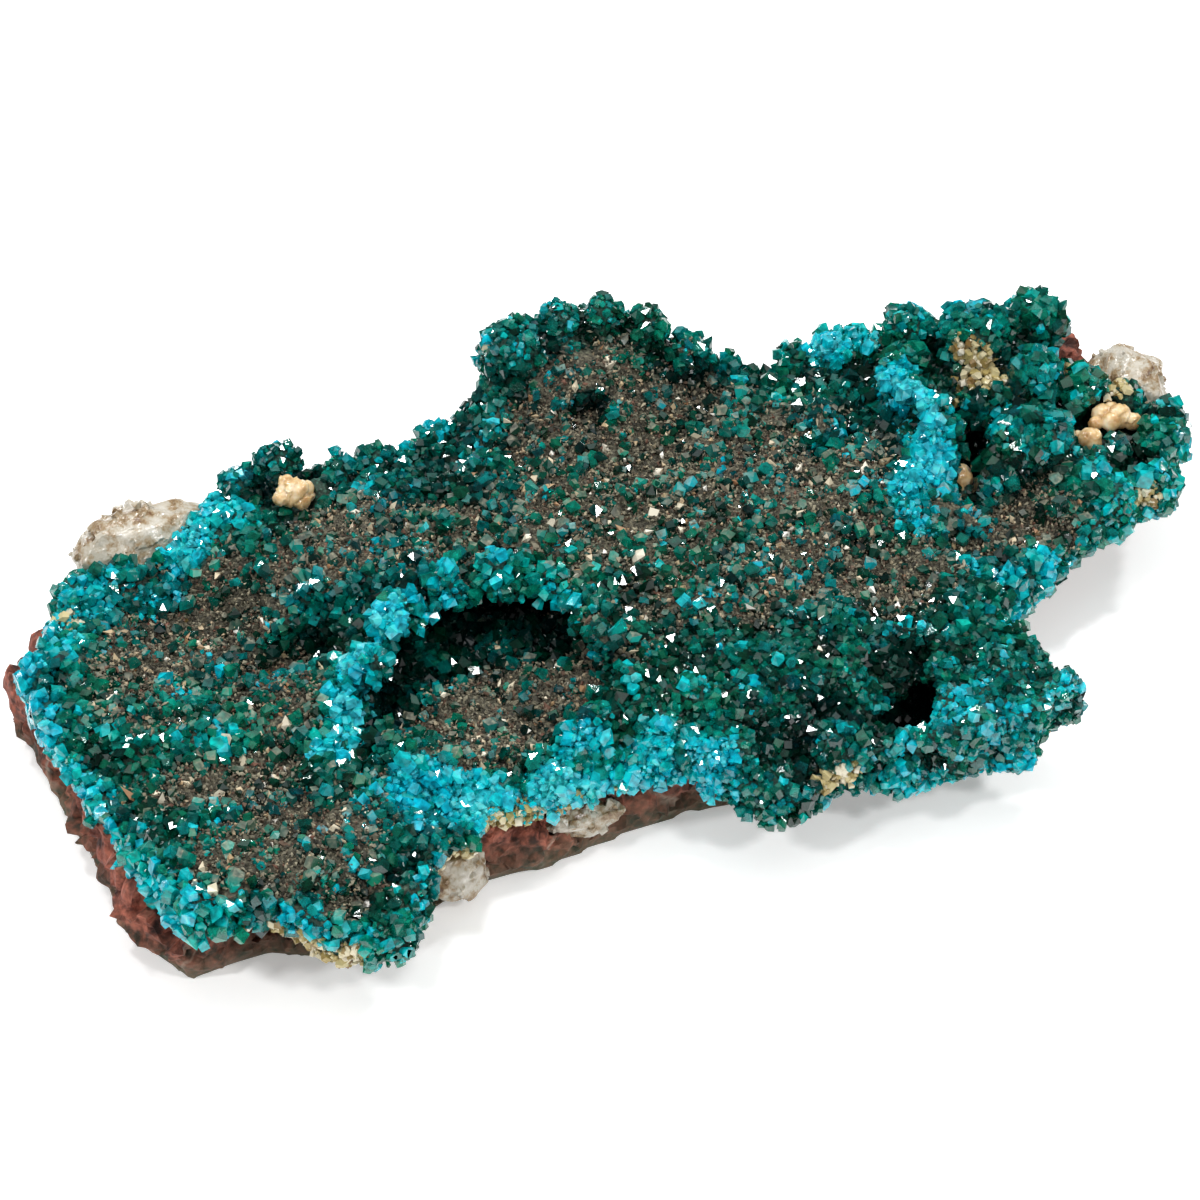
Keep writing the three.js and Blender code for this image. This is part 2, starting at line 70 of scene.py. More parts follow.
MM = 0.001
ROOT = "root"
CHUNK = 16000  # crystals in one mesh, which keeps it under 200,000 triangles
GRAIN_CHUNK = 24000  # grains in one mesh, for the same reason
CRYSTAL_CELL = 0.68 * MM  # one crystal at most grows in each cell of this size
FINE_CELL = 0.5 * MM  # the same for the fine crystals and the cream crusts
GRAIN_CELL = 0.33 * MM  # the same for the grains of silt
HOLLOW_ROUNDS = 30  # how widely the surface is averaged to find its hollows
DARK_TONE, PALE_TONE = 0.36, 0.66  # where the deep green crystals end and the pale ones begin
CRUST_WIDTH = 0.75 * MM  # of a crystal of the cream crusts
FINE_WIDTH = 0.55 * MM  # of a fine pale crystal
POINT_WIDTH = 0.85 * MM  # of a small point of quartz


def hex_colour(text):
    """An sRGB hex value as a linear colour with alpha."""
    parts = (int(text[i:i + 2], 16) / 255 for i in (1, 3, 5))
    return (*(c / 12.92 if c <= 0.04045 else ((c + 0.055) / 1.055) ** 2.4 for c in parts), 1.0)


# All the places below are in millimetres.
# Where the colours lie, seen from above: middle x and y, half sizes, and how much of that colour.
DUSTY_AREAS = [
    (2, 8, 22, 12, 1.0), (16, 6, 14, 12, 1.0), (4, -7, 13, 8, 0.75), (19, -9, 12, 7, 1.15),
    (1.5, 21.5, 11, 6, 1.15), (14.5, 21, 8, 5, 0.8), (-21, -11, 10, 7, 1.6), (-30, -15, 6, 5, 1.5),
    (-46, 13, 13, 9, 1.0), (-32, 15, 10, 7, 0.95), (-19, 11, 10, 7, 0.95), (-51, -25, 10, 6, 1.3),
    (-47, -32.5, 5, 3, 0.7), (-53, -12.5, 9, 5, 1.0), (40, -6.5, 10, 4.5, 1.15), (-9.5, -12, 6, 5, 0.5),
    (40, 1.2, 3, 3, 0.5), (-56, 4, 6, 9, 0.8), (45, -3, 5, 3, 0.6), (-44, -3, 6, 6, 0.8),
    (-36, -22, 4, 4, 0.8), (-47, -19, 7, 4, 0.8),
]
PALE_AREAS = [
    (52, -4.2, 3, 2.5, 0.6), (40, -12.3, 2.5, 2, 0.9), (33.4, -15.5, 2, 1.5, 0.8), (44, -13.2, 3, 2, 0.7),
    (58, -4.3, 3, 2.5, 0.4), (-41.5, 28, 4, 4, 0.8), (-45, 24, 3.5, 3.5, 1.0), (-49.6, 19, 4, 3, 0.7),
    (-57, 20, 4, 4, 0.7), (-56, 13, 4, 3, 0.4), (-61.5, 17, 4, 5, 0.7), (-36.4, 24.5, 3, 2.5, 0.5),
    (-12.8, 33, 3.5, 4, 0.7), (-9.4, 36, 3, 3, 0.65), (31.4, 23.2, 2.5, 2, 1.0), (35.2, 23, 2.3, 2, 0.8),
    (43, 23.8, 3, 2.5, 0.4), (42.2, 19.7, 3, 2.5, 0.4), (19, -32, 4, 3, 0.45), (24.6, -34.7, 4, 2.5, 0.5),
    (29, -32.7, 3, 2.5, 0.4), (12, -35, 5, 3, 0.5), (11.7, -30.5, 3.5, 2.5, 0.4), (-5, -22.5, 4, 3, 0.4),
    (-52, 1.5, 3, 2.5, 0.6), (-50.5, -6.5, 3, 2.5, 0.6), (-55.5, -4, 2.5, 2, 0.4), (22, -30, 3, 3, 0.5),
    (46.5, 0, 2.5, 2, 0.4), (50.5, 9.5, 3, 3, 0.5), (61, -2, 3, 3, 0.4), (38.7, 20, 4, 3, 0.3),
]
# Lines of pale crystals: points, half width, and how much.
PALE_LINES = [
    ([(-65.2, 15.5), (-66.6, 6), (-66.6, -4.4), (-65.6, -13), (-64.6, -22), (-62, -28)], 2.1, 0.55),
    ([(-62, -28), (-58, -30.5), (-53, -33.5), (-48, -36.5)], 1.8, 0.5),
    ([(-35.5, -22.5), (-31, -22.8), (-27, -23), (-22.5, -25), (-18.5, -25)], 3.6, 1.35),
    ([(-18.5, -25), (-14, -24.8), (-8.6, -26), (-5.5, -28)], 2.2, 0.85),
    ([(-42.2, -13.8), (-39.8, -10), (-37.2, -5.8), (-33.6, -2), (-30.5, -0.5)], 2.1, 1.3),
    ([(-29.5, 0), (-25.3, 1.7), (-20.7, 1.8), (-16.1, -0.9), (-12.8, -3.7)], 2.0, 0.5),
    ([(34.7, 15), (35, 9.8), (34.3, 3.6), (32.5, 0.5), (28.5, -2.6)], 2.4, 1.1),
    ([(28, -2.8), (27.6, -6), (29.9, -7.8), (30.6, -11.6), (31.6, -14.1)], 0.8, 0.7),
]
# Where the crystals cover round balls, and how strongly.
KNOBBY_AREAS = [
    (24, -31, 12, 8, 1.0), (0, -29, 8, 6, 0.8), (2, -20, 14, 8, 0.6), (2, 29, 15, 8, 0.7),
    (-33, 28, 12, 6, 0.8), (52, 6, 15, 14, 0.9), (25, 8, 8, 8, 0.6), (-60, 2, 8, 18, 0.35),
    (-42, -33, 8, 5, 0.5), (-24, 22, 10, 6, 0.5), (35, 21, 10, 5, 0.7),
]
# The solids have their own balls there, so the crystals' bed adds none.
SMOOTH_AREAS = [(52, 6, 15, 14, 1.0), (36, 12, 8, 12, 0.7), (25, 8, 5, 6, 0.6)]
# Hollows where no light reaches, where the crystals and bed are darkened as painted shade: middle x and y,
# half sizes, and how dark.
PAINTED_SHADE_AREAS = [
    (-19, 3.2, 8, 3.0, 0.9), (-13, -1.5, 3, 3.5, 0.8), (-30.5, -1.5, 3, 3, 0.85), (-36, -8.5, 2.2, 3, 0.7),
    (17, -26, 2.5, 2.5, 1.0), (41.5, 8, 2.5, 7, 0.8), (22.8, 7, 2.5, 2, 0.7),
]
# Walls that curve in under the rim above them: points of the rim, lowest and highest z, and how far in.
UNDERCUTS = [
    ([(-39, -12), (-35.5, -6.5), (-32, -2.5), (-27.7, 0.5), (-22.8, 1.5), (-18.2, -1), (-13.5, -6),
      (-13, -14)], 12.0, 17.2, 3.2),
    ([(14, -27), (17, -28.5), (20, -28)], 7.0, 13.5, 2.5),
]
# Where the ground lies lower than in the solids: middle x and y, half sizes, and how deep.
DENTS = [(36, -1, 3, 3, 4.6), (38, 1.2, 2, 2, 1.2)]
# Cream crusts, most of them along the lower edge of the druse: x, y, z and radius.
CREAM_CRUSTS = [
    (-36.5, -28.5, 8.5, 2.6), (-33, -25.5, 8.3, 2.2), (-29, -24.3, 8.7, 2.1), (-25, -24.4, 8.7, 2.1),
    (-21, -25, 8.2, 1.8), (44.2, 11.3, 20.8, 2.5), (43.6, 13.3, 22.4, 1.7), (59.2, 6, 18, 1.3),
    (57.4, 12.8, 16, 2.1), (58.6, 9.4, 16.4, 1.8), (-15, -25.5, 8, 1.8), (6.4, -33, 10.7, 1.5),
    (4.6, -33.2, 10.5, 1.1), (-54.5, -32, 8.6, 2.4), (-51.5, -33.5, 8.6, 2.3), (-57.3, -30.3, 8.4, 2.2),
    (-48.5, -35.4, 8.6, 2), (56.5, -6.1, 12.2, 1.5), (46, 11, 16.5, 3.2), (44, 13.5, 17, 2.6),
    (-60, 18.6, 13, 1.5),
]
# The balls of each calcite node: x, y, z and radius.
CALCITE_BALLS = {
    "cavity_bead": [(37.9, 3.3, 13.4, 1.65)],
    "cream_beads": [(57.7, 3.2, 16.1, 1.45), (56.2, 4.2, 16.1, 1.25), (56.4, 2.5, 16.2, 1.1),
                    (59, 2.2, 15.7, 1.05), (57.6, 4.7, 16.2, 0.9), (54.9, 3.4, 15.8, 0.8),
                    (53.2, 1.5, 15.3, 1.4), (52.3, 2.7, 15.1, 0.85)],
    "cream_nodule": [(-32.7, 23.7, 18.1, 1.6), (-34.1, 23.4, 18.1, 0.95), (-31.4, 23.9, 18.0, 1.2),
                     (-32.9, 24.5, 19.1, 0.9), (-32, 22.9, 17.5, 1.0), (-31.9, 23.4, 18.8, 0.8)],
}
# The largest crystals, where each stands: x, y and width.
LARGE_CRYSTALS = [
    (-12.7, -8.1, 2.9), (2, -30.5, 2.5), (4.2, -24.5, 2.4), (-41, -16.6, 2.3), (-40.2, -26.9, 2.4),
    (23.8, 11.9, 2.6), (-9, -17, 2.2), (12, -27, 2.2), (48, 0, 2.2), (46, 1.8, 2.4), (0.5, -24, 2.2),
    (26.5, -32, 2.2), (-7, -9, 2), (9.5, -24.5, 2.2), (-43, -34.5, 2),
]
# Single white crystals of calcite on the druse: x, y and width.
WHITE_CRYSTALS = [
    (-49.7, -5.7, 1.8), (-51, -6.9, 2), (-59.3, -16.5, 1.6), (-59.7, -27.7, 1.9), (-2.6, -1.5, 2),
    (-9.1, 7.3, 1.6), (3, 8.3, 1.8), (2, 5.2, 1.9), (4.9, 5, 1.5), (16.4, -18.3, 2), (57.7, 6.1, 1.6),
]


class SpecimenDruse(bpy.types.PropertyGroup):
    crystal_width: FloatProperty(
        name="Crystal width", description="Width of a usual crystal", default=1.08 * MM, unit="LENGTH",
        precision=5)
    bed_depth: FloatProperty(
        name="Bed depth", description="How far the crystals' roots lie below their tips", default=0.75 * MM,
        unit="LENGTH", precision=5)
    bed_voxel: FloatProperty(
        name="Bed grid", description="Grid size of the bed's surface", default=0.7 * MM, unit="LENGTH",
        precision=5)
    seed: IntProperty(name="Seed", description="Seed of the crystals' places", default=7)


class SpecimenDust(bpy.types.PropertyGroup):
    grain: FloatProperty(
        name="Grain size", description="Size of a usual grain of dust", default=0.28 * MM, unit="LENGTH",
        precision=5)
    seed: IntProperty(name="Seed", description="Seed of the grains' places", default=21)


class SpecimenRock(bpy.types.PropertyGroup):
    voxel: FloatProperty(
        name="Rock grid", description="Grid size of the rock's surface", default=0.58 * MM, unit="LENGTH",
        precision=5)
    colour: FloatVectorProperty(
        name="Rock colour", description="Main colour of the rock", default=hex_colour("#8A4E3E")[:3],
        subtype="COLOR", min=0, max=1)


class SpecimenStage(bpy.types.PropertyGroup):
    azimuth: FloatProperty(
        name="Camera azimuth", description="Angle of the view round the specimen", default=math.radians(-23),
        subtype="ANGLE")
    elevation: FloatProperty(
        name="Camera elevation", description="Angle of the view above the table", default=math.radians(40),
        subtype="ANGLE")
    distance: FloatProperty(
        name="Camera distance", description="From the camera to the specimen", default=0.430, unit="LENGTH")
    lens: FloatProperty(name="Lens", description="Focal length of a 36 mm wide picture", default=120)
    lamp_power: FloatProperty(
        name="Lamp power", description="Power of each lamp", default=2.35, subtype="POWER")


def lattice_hash(cells, seed):
    """A number from 0 to 1 for each cell of whole numbers."""
    mixed = (cells[..., 0] * 73856093) ^ (cells[..., 1] * 19349663) ^ (cells[..., 2] * 83492791)
    mixed = mixed ^ (seed * 2654435761)
    mixed = (mixed ^ (mixed >> 13)) * 1274126177
    mixed = (mixed ^ (mixed >> 16)) & 0xFFFFFF
    return mixed / 0xFFFFFF


def smooth_noise(points, size, seed):
    """Smooth noise from -1 to 1 at points in space, with lumps of the given size."""
    at = points / size
    low = np.floor(at).astype(np.int64)
    part = at - low
    part = part * part * (3 - 2 * part)
    total = np.zeros(len(points))
    for corner in np.ndindex(2, 2, 2):
        step = np.array(corner)
        weight = np.prod(np.where(step, part, 1 - part), axis=1)
        total += weight * lattice_hash(low + step, seed)
    return 2 * total - 1


def rough_noise(points, size, seed, octaves=3):
    """Noise whose lumps carry smaller lumps, from about -1 to 1."""
    total = sum(smooth_noise(points, size / 2 ** i, seed + i) * 0.55 ** i for i in range(octaves))
    return total / sum(0.55 ** i for i in range(octaves))


def line_distance(points, line):
    """Distance of each point to a line of points."""
    best = np.full(len(points), np.inf)
    for a, b in zip(line, line[1:]):
        a, b = np.array(a, float), np.array(b, float)
        along = np.clip(((points - a) @ (b - a)) / ((b - a) @ (b - a)), 0, 1)
        best = np.minimum(best, np.linalg.norm(points - a - along[:, None] * (b - a), axis=1))
    return best


def area_amount(points, areas, lines=()):
    """How much of a colour each point has, from 0 to about 1, from the areas and lines above."""
    plan = points[:, :2] / MM
    # The edges of the areas wander by about 2 mm.
    wander = np.stack([smooth_noise(points, 5 * MM, 90), smooth_noise(points, 5 * MM, 91)], axis=1)
    amount = np.zeros(len(points))
    for x, y, half_x, half_y, most in areas:
        reach = ((plan[:, 0] + 1.6 * wander[:, 0] - x) / half_x) ** 2 + (
            (plan[:, 1] + 1.6 * wander[:, 1] - y) / half_y) ** 2
        amount = np.maximum(amount, most * np.exp(-0.7 * reach ** 2))
    plan = plan + 0.7 * wander
    for line, half_width, most in lines:
        amount = np.maximum(amount, most * np.exp(-((line_distance(plan, line) / half_width) ** 4)))
    return amount


def crust_amount(points):
    """How much cream crust covers each point, from 1.5 in the middle of a crust to less than 0.5 outside."""
    amount = np.zeros(len(points))
    for x, y, z, radius in CREAM_CRUSTS:
        amount = np.maximum(amount, 1.5 - np.linalg.norm(points / MM - (x, y, z), axis=1) / radius)
    return amount


def beside_calcite(points, gap):
    """Whether each point lies within a gap of one of the calcite balls, where no crystal stands."""
    near = np.zeros(len(points), dtype=bool)
    for balls in CALCITE_BALLS.values():
        for x, y, z, radius in balls:
            near |= np.linalg.norm(points / MM - (x, y, z), axis=1) < radius + gap
    return near


def scattered(at, seed):
    """The 27 cells round each point, each with its one random place."""
    low = np.floor(at).astype(np.int64)
    for corner in np.ndindex(3, 3, 3):
        cell = low + np.array(corner) - 1
        yield cell, cell + np.stack([lattice_hash(cell, seed + i) for i in range(3)], axis=1)


def knob_height(points, size, seed):
    """Round balls of about the given size, side by side: 1 on top of each, 0 in the creases between them."""
    at = points / size
    nearest = np.full(len(points), np.inf)
    for _, place in scattered(at, seed):
        nearest = np.minimum(nearest, ((at - place) ** 2).sum(axis=1))
    return np.sqrt(np.clip(1 - nearest / 0.8, 0, 1))


def druse_areas(points, normals):
    """How much painted shade, pale colour and dust the druse has at each point."""
    # Painted shade low in the listed hollows: it darkens the crystals there and takes away pale colour and
    # dust.
    dark = area_amount(points, PAINTED_SHADE_AREAS) * smooth_step(17.5, 15.5, points[:, 2] / MM)
    pale = area_amount(points, PALE_AREAS, PALE_LINES) * (1 - dark)
    dust = area_amount(points, DUSTY_AREAS) * smooth_step(0.25, 0.7, normals[:, 2])
    dust = dust * (1 - dark) * (1 - smooth_step(0.4, 0.8, pale))
    return dark, pale, dust


def chipped(points, size, seed):
    """Flat chips of about the given size, each tilted its own way, from about -0.3 to 0.3."""
    at = points / size
    nearest = np.full(len(points), np.inf)
    height = np.zeros(len(points))
    for cell, place in scattered(at, seed):
        tilt = np.stack([lattice_hash(cell, seed + 3 + i) for i in range(3)], axis=1) - 0.5
        level = 0.12 * (lattice_hash(cell, seed + 6) - 0.5)
        distance = ((at - place) ** 2).sum(axis=1)
        closer = distance < nearest
        nearest[closer] = distance[closer]
        height[closer] = (((at - place) * tilt).sum(axis=1) + level)[closer]
    return height


def smooth_step(low, high, value):
    part = np.clip((value - low) / (high - low), 0, 1)
    return part * part * (3 - 2 * part)


def surface_arrays(mesh):
    """The mesh's vertices and their normals, one row each."""
    points, normals = np.empty((2, len(mesh.vertices) * 3))
    mesh.vertices.foreach_get("co", points)
    mesh.vertex_normals.foreach_get("vector", normals)
    return points.reshape(-1, 3), normals.reshape(-1, 3)


def hollowness(mesh):
    """How far each vertex lies below the average of the surface round it: above 0 in hollows."""
    points, normals = surface_arrays(mesh)
    count = len(points)
    ends = np.empty(len(mesh.edges) * 2, dtype=np.int32)
    mesh.edges.foreach_get("vertices", ends)
    a, b = ends[0::2], ends[1::2]
    neighbours = np.maximum(np.bincount(a, minlength=count) + np.bincount(b, minlength=count), 1)
    average = points.copy()
    for _ in range(HOLLOW_ROUNDS):
        sums = [np.bincount(a, average[b, i], count) + np.bincount(b, average[a, i], count) for i in range(3)]
        average = np.stack(sums, axis=1) / neighbours[:, None]
    return ((average - points) * normals).sum(axis=1)


def set_vertices(mesh, points):
    mesh.vertices.foreach_set("co", np.ascontiguousarray(points, dtype=np.float32).ravel())
    mesh.update()


def set_value(mesh, name, values):
    """Stores a value for each vertex, which a material reads by name."""
    layer = mesh.attributes.new(name, "FLOAT", "POINT")
    layer.data.foreach_set("value", np.ascontiguousarray(values, dtype=np.float32))


def kept_in_box(points):
    """The points, none of them outside the solids' box."""
    low, high = (np.array(corner) for corner in CAD_BOX)
    margin = 0.02 * MM
    return np.clip(points, low + margin, high - margin)


def grown_together(piece, voxel, smoothing):
    """Makes a piece one skin with an even grid of small faces and its edges rounded a little."""
    grid = piece.modifiers.new("Grid", "REMESH")
    grid.mode = "VOXEL"
    grid.voxel_size = voxel
    soft = piece.modifiers.new("Soft", "SMOOTH")
    soft.factor = 0.5
    soft.iterations = smoothing
    depsgraph = bpy.context.evaluated_depsgraph_get()
    mesh = bpy.data.meshes.new_from_object(piece.evaluated_get(depsgraph))
    mesh.name = piece.name
    piece.modifiers.clear()
    piece.data = mesh
    mesh.materials.clear()
    return mesh


def remeshed(name, node, voxel, smoothing):
    """A copy of a CAD node with an even grid of small faces."""
    piece = bpy.data.objects.new(name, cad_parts[node].data.copy())
    bpy.context.collection.objects.link(piece)
    work = bmesh.new()
    work.from_mesh(piece.data)
    bmesh.ops.remove_doubles(work, verts=work.verts, dist=0.001 * MM)
    work.to_mesh(piece.data)
    work.free()
    grown_together(piece, voxel, smoothing)
    return piece


def finish_piece(piece, slot, material, *nodes):
    """Gives a piece its material, hangs it on the body it rides on and hides the CAD nodes it stands for."""
    piece.data.materials.clear()
    piece.data.materials.append(material)
    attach(piece, ROOT)
    if nodes:
        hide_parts(*nodes)


def surface_samples(mesh, cell, random, values):
    """One random place in each grid cell that the surface passes through: its point, normal and value."""
    mesh.calc_loop_triangles()
    count = len(mesh.loop_triangles)
    corners = np.empty(count * 3, dtype=np.int32)
    mesh.loop_triangles.foreach_get("vertices", corners)
    corners = corners.reshape(-1, 3)
    points, normals = surface_arrays(mesh)
    a, b, c = (points[corners[:, i]] for i in range(3))
    area = 0.5 * np.linalg.norm(np.cross(b - a, c - a), axis=1)
    wanted = int(area.sum() / cell ** 2 * 5)
    pick = corners[random.choice(count, size=wanted, p=area / area.sum())]
    u, v = random.random(wanted), random.random(wanted)
    over = u + v > 1
    u[over], v[over] = 1 - u[over], 1 - v[over]
    shares = np.stack([1 - u - v, u, v], axis=1)
    at = np.einsum("nk,nkj->nj", shares, points[pick])
    _, first = np.unique(np.floor(at / cell).astype(np.int64), axis=0, return_index=True)
    shares, pick = shares[first], pick[first]
    out = np.einsum("nk,nkj->nj", shares, normals[pick])
    out /= np.linalg.norm(out, axis=1)[:, None]
    return at[first], out, (shares * values[pick]).sum(axis=1)


def turned_frames(upright, lean, random):
    """For each direction, three axes whose third leans off it by a random amount."""
    up = upright + np.reshape(lean, (-1, 1)) * random.normal(size=upright.shape) * 0.6
    up /= np.linalg.norm(up, axis=1)[:, None]
    side = random.normal(size=upright.shape)
    side -= (side * up).sum(axis=1)[:, None] * up
    side /= np.linalg.norm(side, axis=1)[:, None]
    return np.stack([side, np.cross(up, side), up], axis=1)


def mesh_from_copies(name, points, faces):
    """One mesh from many copies of a form. Points is copies by vertices by 3, faces are vertex loops."""
    copies, per_copy = points.shape[:2]
    loops = np.concatenate([np.array(face) for face in faces])
    sizes = np.array([len(face) for face in faces])
    offsets = (np.arange(copies) * per_copy)[:, None]
    all_loops = (loops[None, :] + offsets).ravel()
    all_sizes = np.tile(sizes, copies)
    starts = np.concatenate([[0], np.cumsum(all_sizes)[:-1]])
    mesh = bpy.data.meshes.new(name)
    mesh.vertices.add(copies * per_copy)
    mesh.loops.add(len(all_loops))
    mesh.polygons.add(len(all_sizes))
    mesh.vertices.foreach_set("co", kept_in_box(points.reshape(-1, 3)).astype(np.float32).ravel())
    mesh.loops.foreach_set("vertex_index", all_loops.astype(np.int32))
    mesh.polygons.foreach_set("loop_start", starts.astype(np.int32))
    mesh.update(calc_edges=True)
    mesh.validate()
    mesh.shade_flat()
    piece = bpy.data.objects.new(name, mesh)
    bpy.context.collection.objects.link(piece)
    return piece


def pieces_from_copies(name, slot, material, points, faces, most, **values):
    """Pieces of at most so many copies of a form, each copy with its own values for the material."""
    for part, start in enumerate(range(0, len(points), most), 1):
        rows = slice(start, start + most)
        piece = mesh_from_copies(f"{name}_{part}", points[rows], faces)
        for value, numbers in values.items():
            set_value(piece.data, value, np.repeat(numbers[rows], points.shape[1]))
        finish_piece(piece, slot, material)


# Vertex loops of a crystal: 0 to 5 are its shoulders, 6 the tip and 7 the root, down in the bed.
CRYSTAL_FACES = [(7, (i + 1) % 6, i) for i in range(6)]
CRYSTAL_FACES += [(6, (i + 5) % 6, i, (i + 1) % 6) for i in (0, 2, 4)]


def crystals(name, slot, material, at, upright, width, tone, random, lean, slenderness, spread=0.36):
    """Six-sided crystals with the three rhombs of dioptase on top, at most CHUNK of them in a mesh."""
    count = len(at)
    width = width * np.exp(spread * np.clip(random.normal(size=count), -1.8, 1.5))
    rise = width * slenderness * random.uniform(0.7, 1.25, count)  # from the bed to the tip
    frames = turned_frames(upright, lean, random)
    angle = np.arange(6) * math.pi / 3
    squeeze = random.uniform(0.7, 1.15, (count, 2))
    form = np.zeros((count, 8, 3))
    form[:, :6, 0] = 0.5 * width[:, None] * squeeze[:, :1] * np.cos(angle)
    form[:, :6, 1] = 0.5 * width[:, None] * squeeze[:, 1:] * np.sin(angle)
    slope = random.uniform(0.5, 1.3, count)[:, None]
    drop = np.where(np.arange(6) % 2 == 0, 1.0, 0.5)[None, :] * slope * 0.5 * width[:, None]
    form[:, :6, 2] = rise[:, None] - drop
    form[:, 6, 2] = rise
    form[:, 6, :2] = 0.1 * width[:, None] * random.normal(size=(count, 2))
    form[:, :7] += 0.05 * width[:, None, None] * random.normal(size=(count, 7, 3))
    form[:, 7, 2] = -np.minimum(0.9 * width, 1 * MM)
    placed = np.einsum("nvk,nkj->nvj", form, frames) + at[:, None, :]
    hue = 0.3 + 0.3 * smooth_noise(at, 6 * MM, 50) + 0.2 * random.normal(size=count)
    hue = np.clip(hue + 0.5 * smooth_step(0.6, 0.85, tone), 0, 1)
    pieces_from_copies(name, slot, material, placed, CRYSTAL_FACES, CHUNK, tone=tone, hue=hue)


def grains(name, slot, material, at, size, random):
    """Broken grains of eight faces each, at most GRAIN_CHUNK of them in a mesh."""
    count = len(at)
    corners = np.array([(1, 0, 0), (0, 1, 0), (-1, 0, 0), (0, -1, 0), (0, 0, 1), (0, 0, -1)], float)
    faces = [(0, 1, 4), (1, 2, 4), (2, 3, 4), (3, 0, 4), (1, 0, 5), (2, 1, 5), (3, 2, 5), (0, 3, 5)]
    form = corners[None] * random.uniform(0.55, 1.1, (count, 6, 1)) * 0.6 * size[:, None, None]
    form[:, :, 0] *= random.uniform(0.8, 2.2, (count, 1))
    form += 0.12 * size[:, None, None] * random.normal(size=(count, 6, 3))
    up = random.normal(size=(count, 3))
    frames = turned_frames(up / np.linalg.norm(up, axis=1)[:, None], 0.0, random)
    placed = np.einsum("nvk,nkj->nvj", form, frames) + at[:, None, :]
    shade = random.random(count)
    pieces_from_copies(name, slot, material, placed, faces, GRAIN_CHUNK, shade=shade)


def add_node(tree, kind, sockets=None, stops=(), **settings):
    """Adds a node. Settings are its own values, and stops are a colour ramp's places and colours. Sockets
    maps an input to its value, to the output that feeds it, or to a node whose first active output does."""
    node = tree.nodes.new("ShaderNode" + kind)
    for name, value in settings.items():
        setattr(node, name, value)
    for key, value in (sockets or {}).items():
        if isinstance(value, bpy.types.Node):
            value = next(output for output in value.outputs if output.enabled)
        if isinstance(value, bpy.types.NodeSocket):
            tree.links.new(value, node.inputs[key])
        else:
            node.inputs[key].default_value = value
    if stops:
        elements = node.color_ramp.elements
        while len(elements) < len(stops):
            elements.new(0.5)
        for element, (place, colour) in zip(elements, stops):
            element.position = place
            element.color = hex_colour(colour)
    return node


def new_material(name):
    """An empty node material and its tree."""
    material = bpy.data.materials.new(name)
    material.use_nodes = True
    material.node_tree.nodes.clear()
    return material, material.node_tree


def finished(material, sockets, **volume):
    """The material with its surface, and its volume if it has one, joined to the output."""
    surface = add_node(material.node_tree, "BsdfPrincipled", sockets)
    add_node(material.node_tree, "OutputMaterial", {"Surface": surface, **volume})
    return material


# Dioptase from the deepest crystals to the palest, on its greener and its bluer side.
GREEN_SIDE = [(0.0, "#011A13"), (0.2, "#044A33"), (0.4, "#057E5E"), (0.56, "#06A483"), (0.7, "#04C8B8"),
              (0.85, "#0AE2DA"), (1.0, "#60F0EA")]
BLUE_SIDE = [(0.0, "#01191C"), (0.2, "#04454C"), (0.4, "#047A88"), (0.56, "#04A0B2"), (0.7, "#02BEDA"),
             (0.85, "#06D6F2"), (1.0, "#54E8FA")]


def dioptase_colour(tree):
    """The colour of each crystal from its own tone and hue."""
    tone = add_node(tree, "Attribute", attribute_name="tone").outputs["Fac"]
    hue = add_node(tree, "Attribute", attribute_name="hue").outputs["Fac"]
    green = add_node(tree, "ValToRGB", {"Fac": tone}, GREEN_SIDE)
    blue = add_node(tree, "ValToRGB", {"Fac": tone}, BLUE_SIDE)
    return add_node(tree, "Mix", {0: hue, 6: green, 7: blue}, data_type="RGBA")


def clear_dioptase(name, transmission, roughness, absorbed, density):
    """Dioptase grown in free space: clean glassy faces, and a green that deepens through the crystal."""
    material, tree = new_material(name)
    colour = dioptase_colour(tree)
    place = add_node(tree, "TexCoord").outputs["Object"]
    veil = add_node(tree, "TexNoise", {"Vector": place, "Scale": 1 / (0.8 * MM), "Detail": 4.0})
    veiled = add_node(tree, "MapRange", {"Value": veil, "From Min": 0.32, "From Max": 0.68, "To Min": 0.5,
                                         "To Max": 1.5})
    tinted = add_node(tree, "Mix", {0: 1.0, 6: colour, 7: veiled}, data_type="RGBA", blend_type="MULTIPLY",
                      clamp_result=True)
    growth = add_node(tree, "TexNoise", {"Vector": place, "Scale": 1 / (0.25 * MM)})
    bump = add_node(tree, "Bump", {"Height": growth, "Strength": 0.2, "Distance": 0.03 * MM})
    volume = add_node(tree, "VolumeAbsorption", {"Color": hex_colour(absorbed), "Density": density})
    return finished(material, {"Base Color": tinted, "Roughness": roughness, "IOR": 1.66,
                               "Transmission Weight": transmission, "Normal": bump}, Volume=volume)


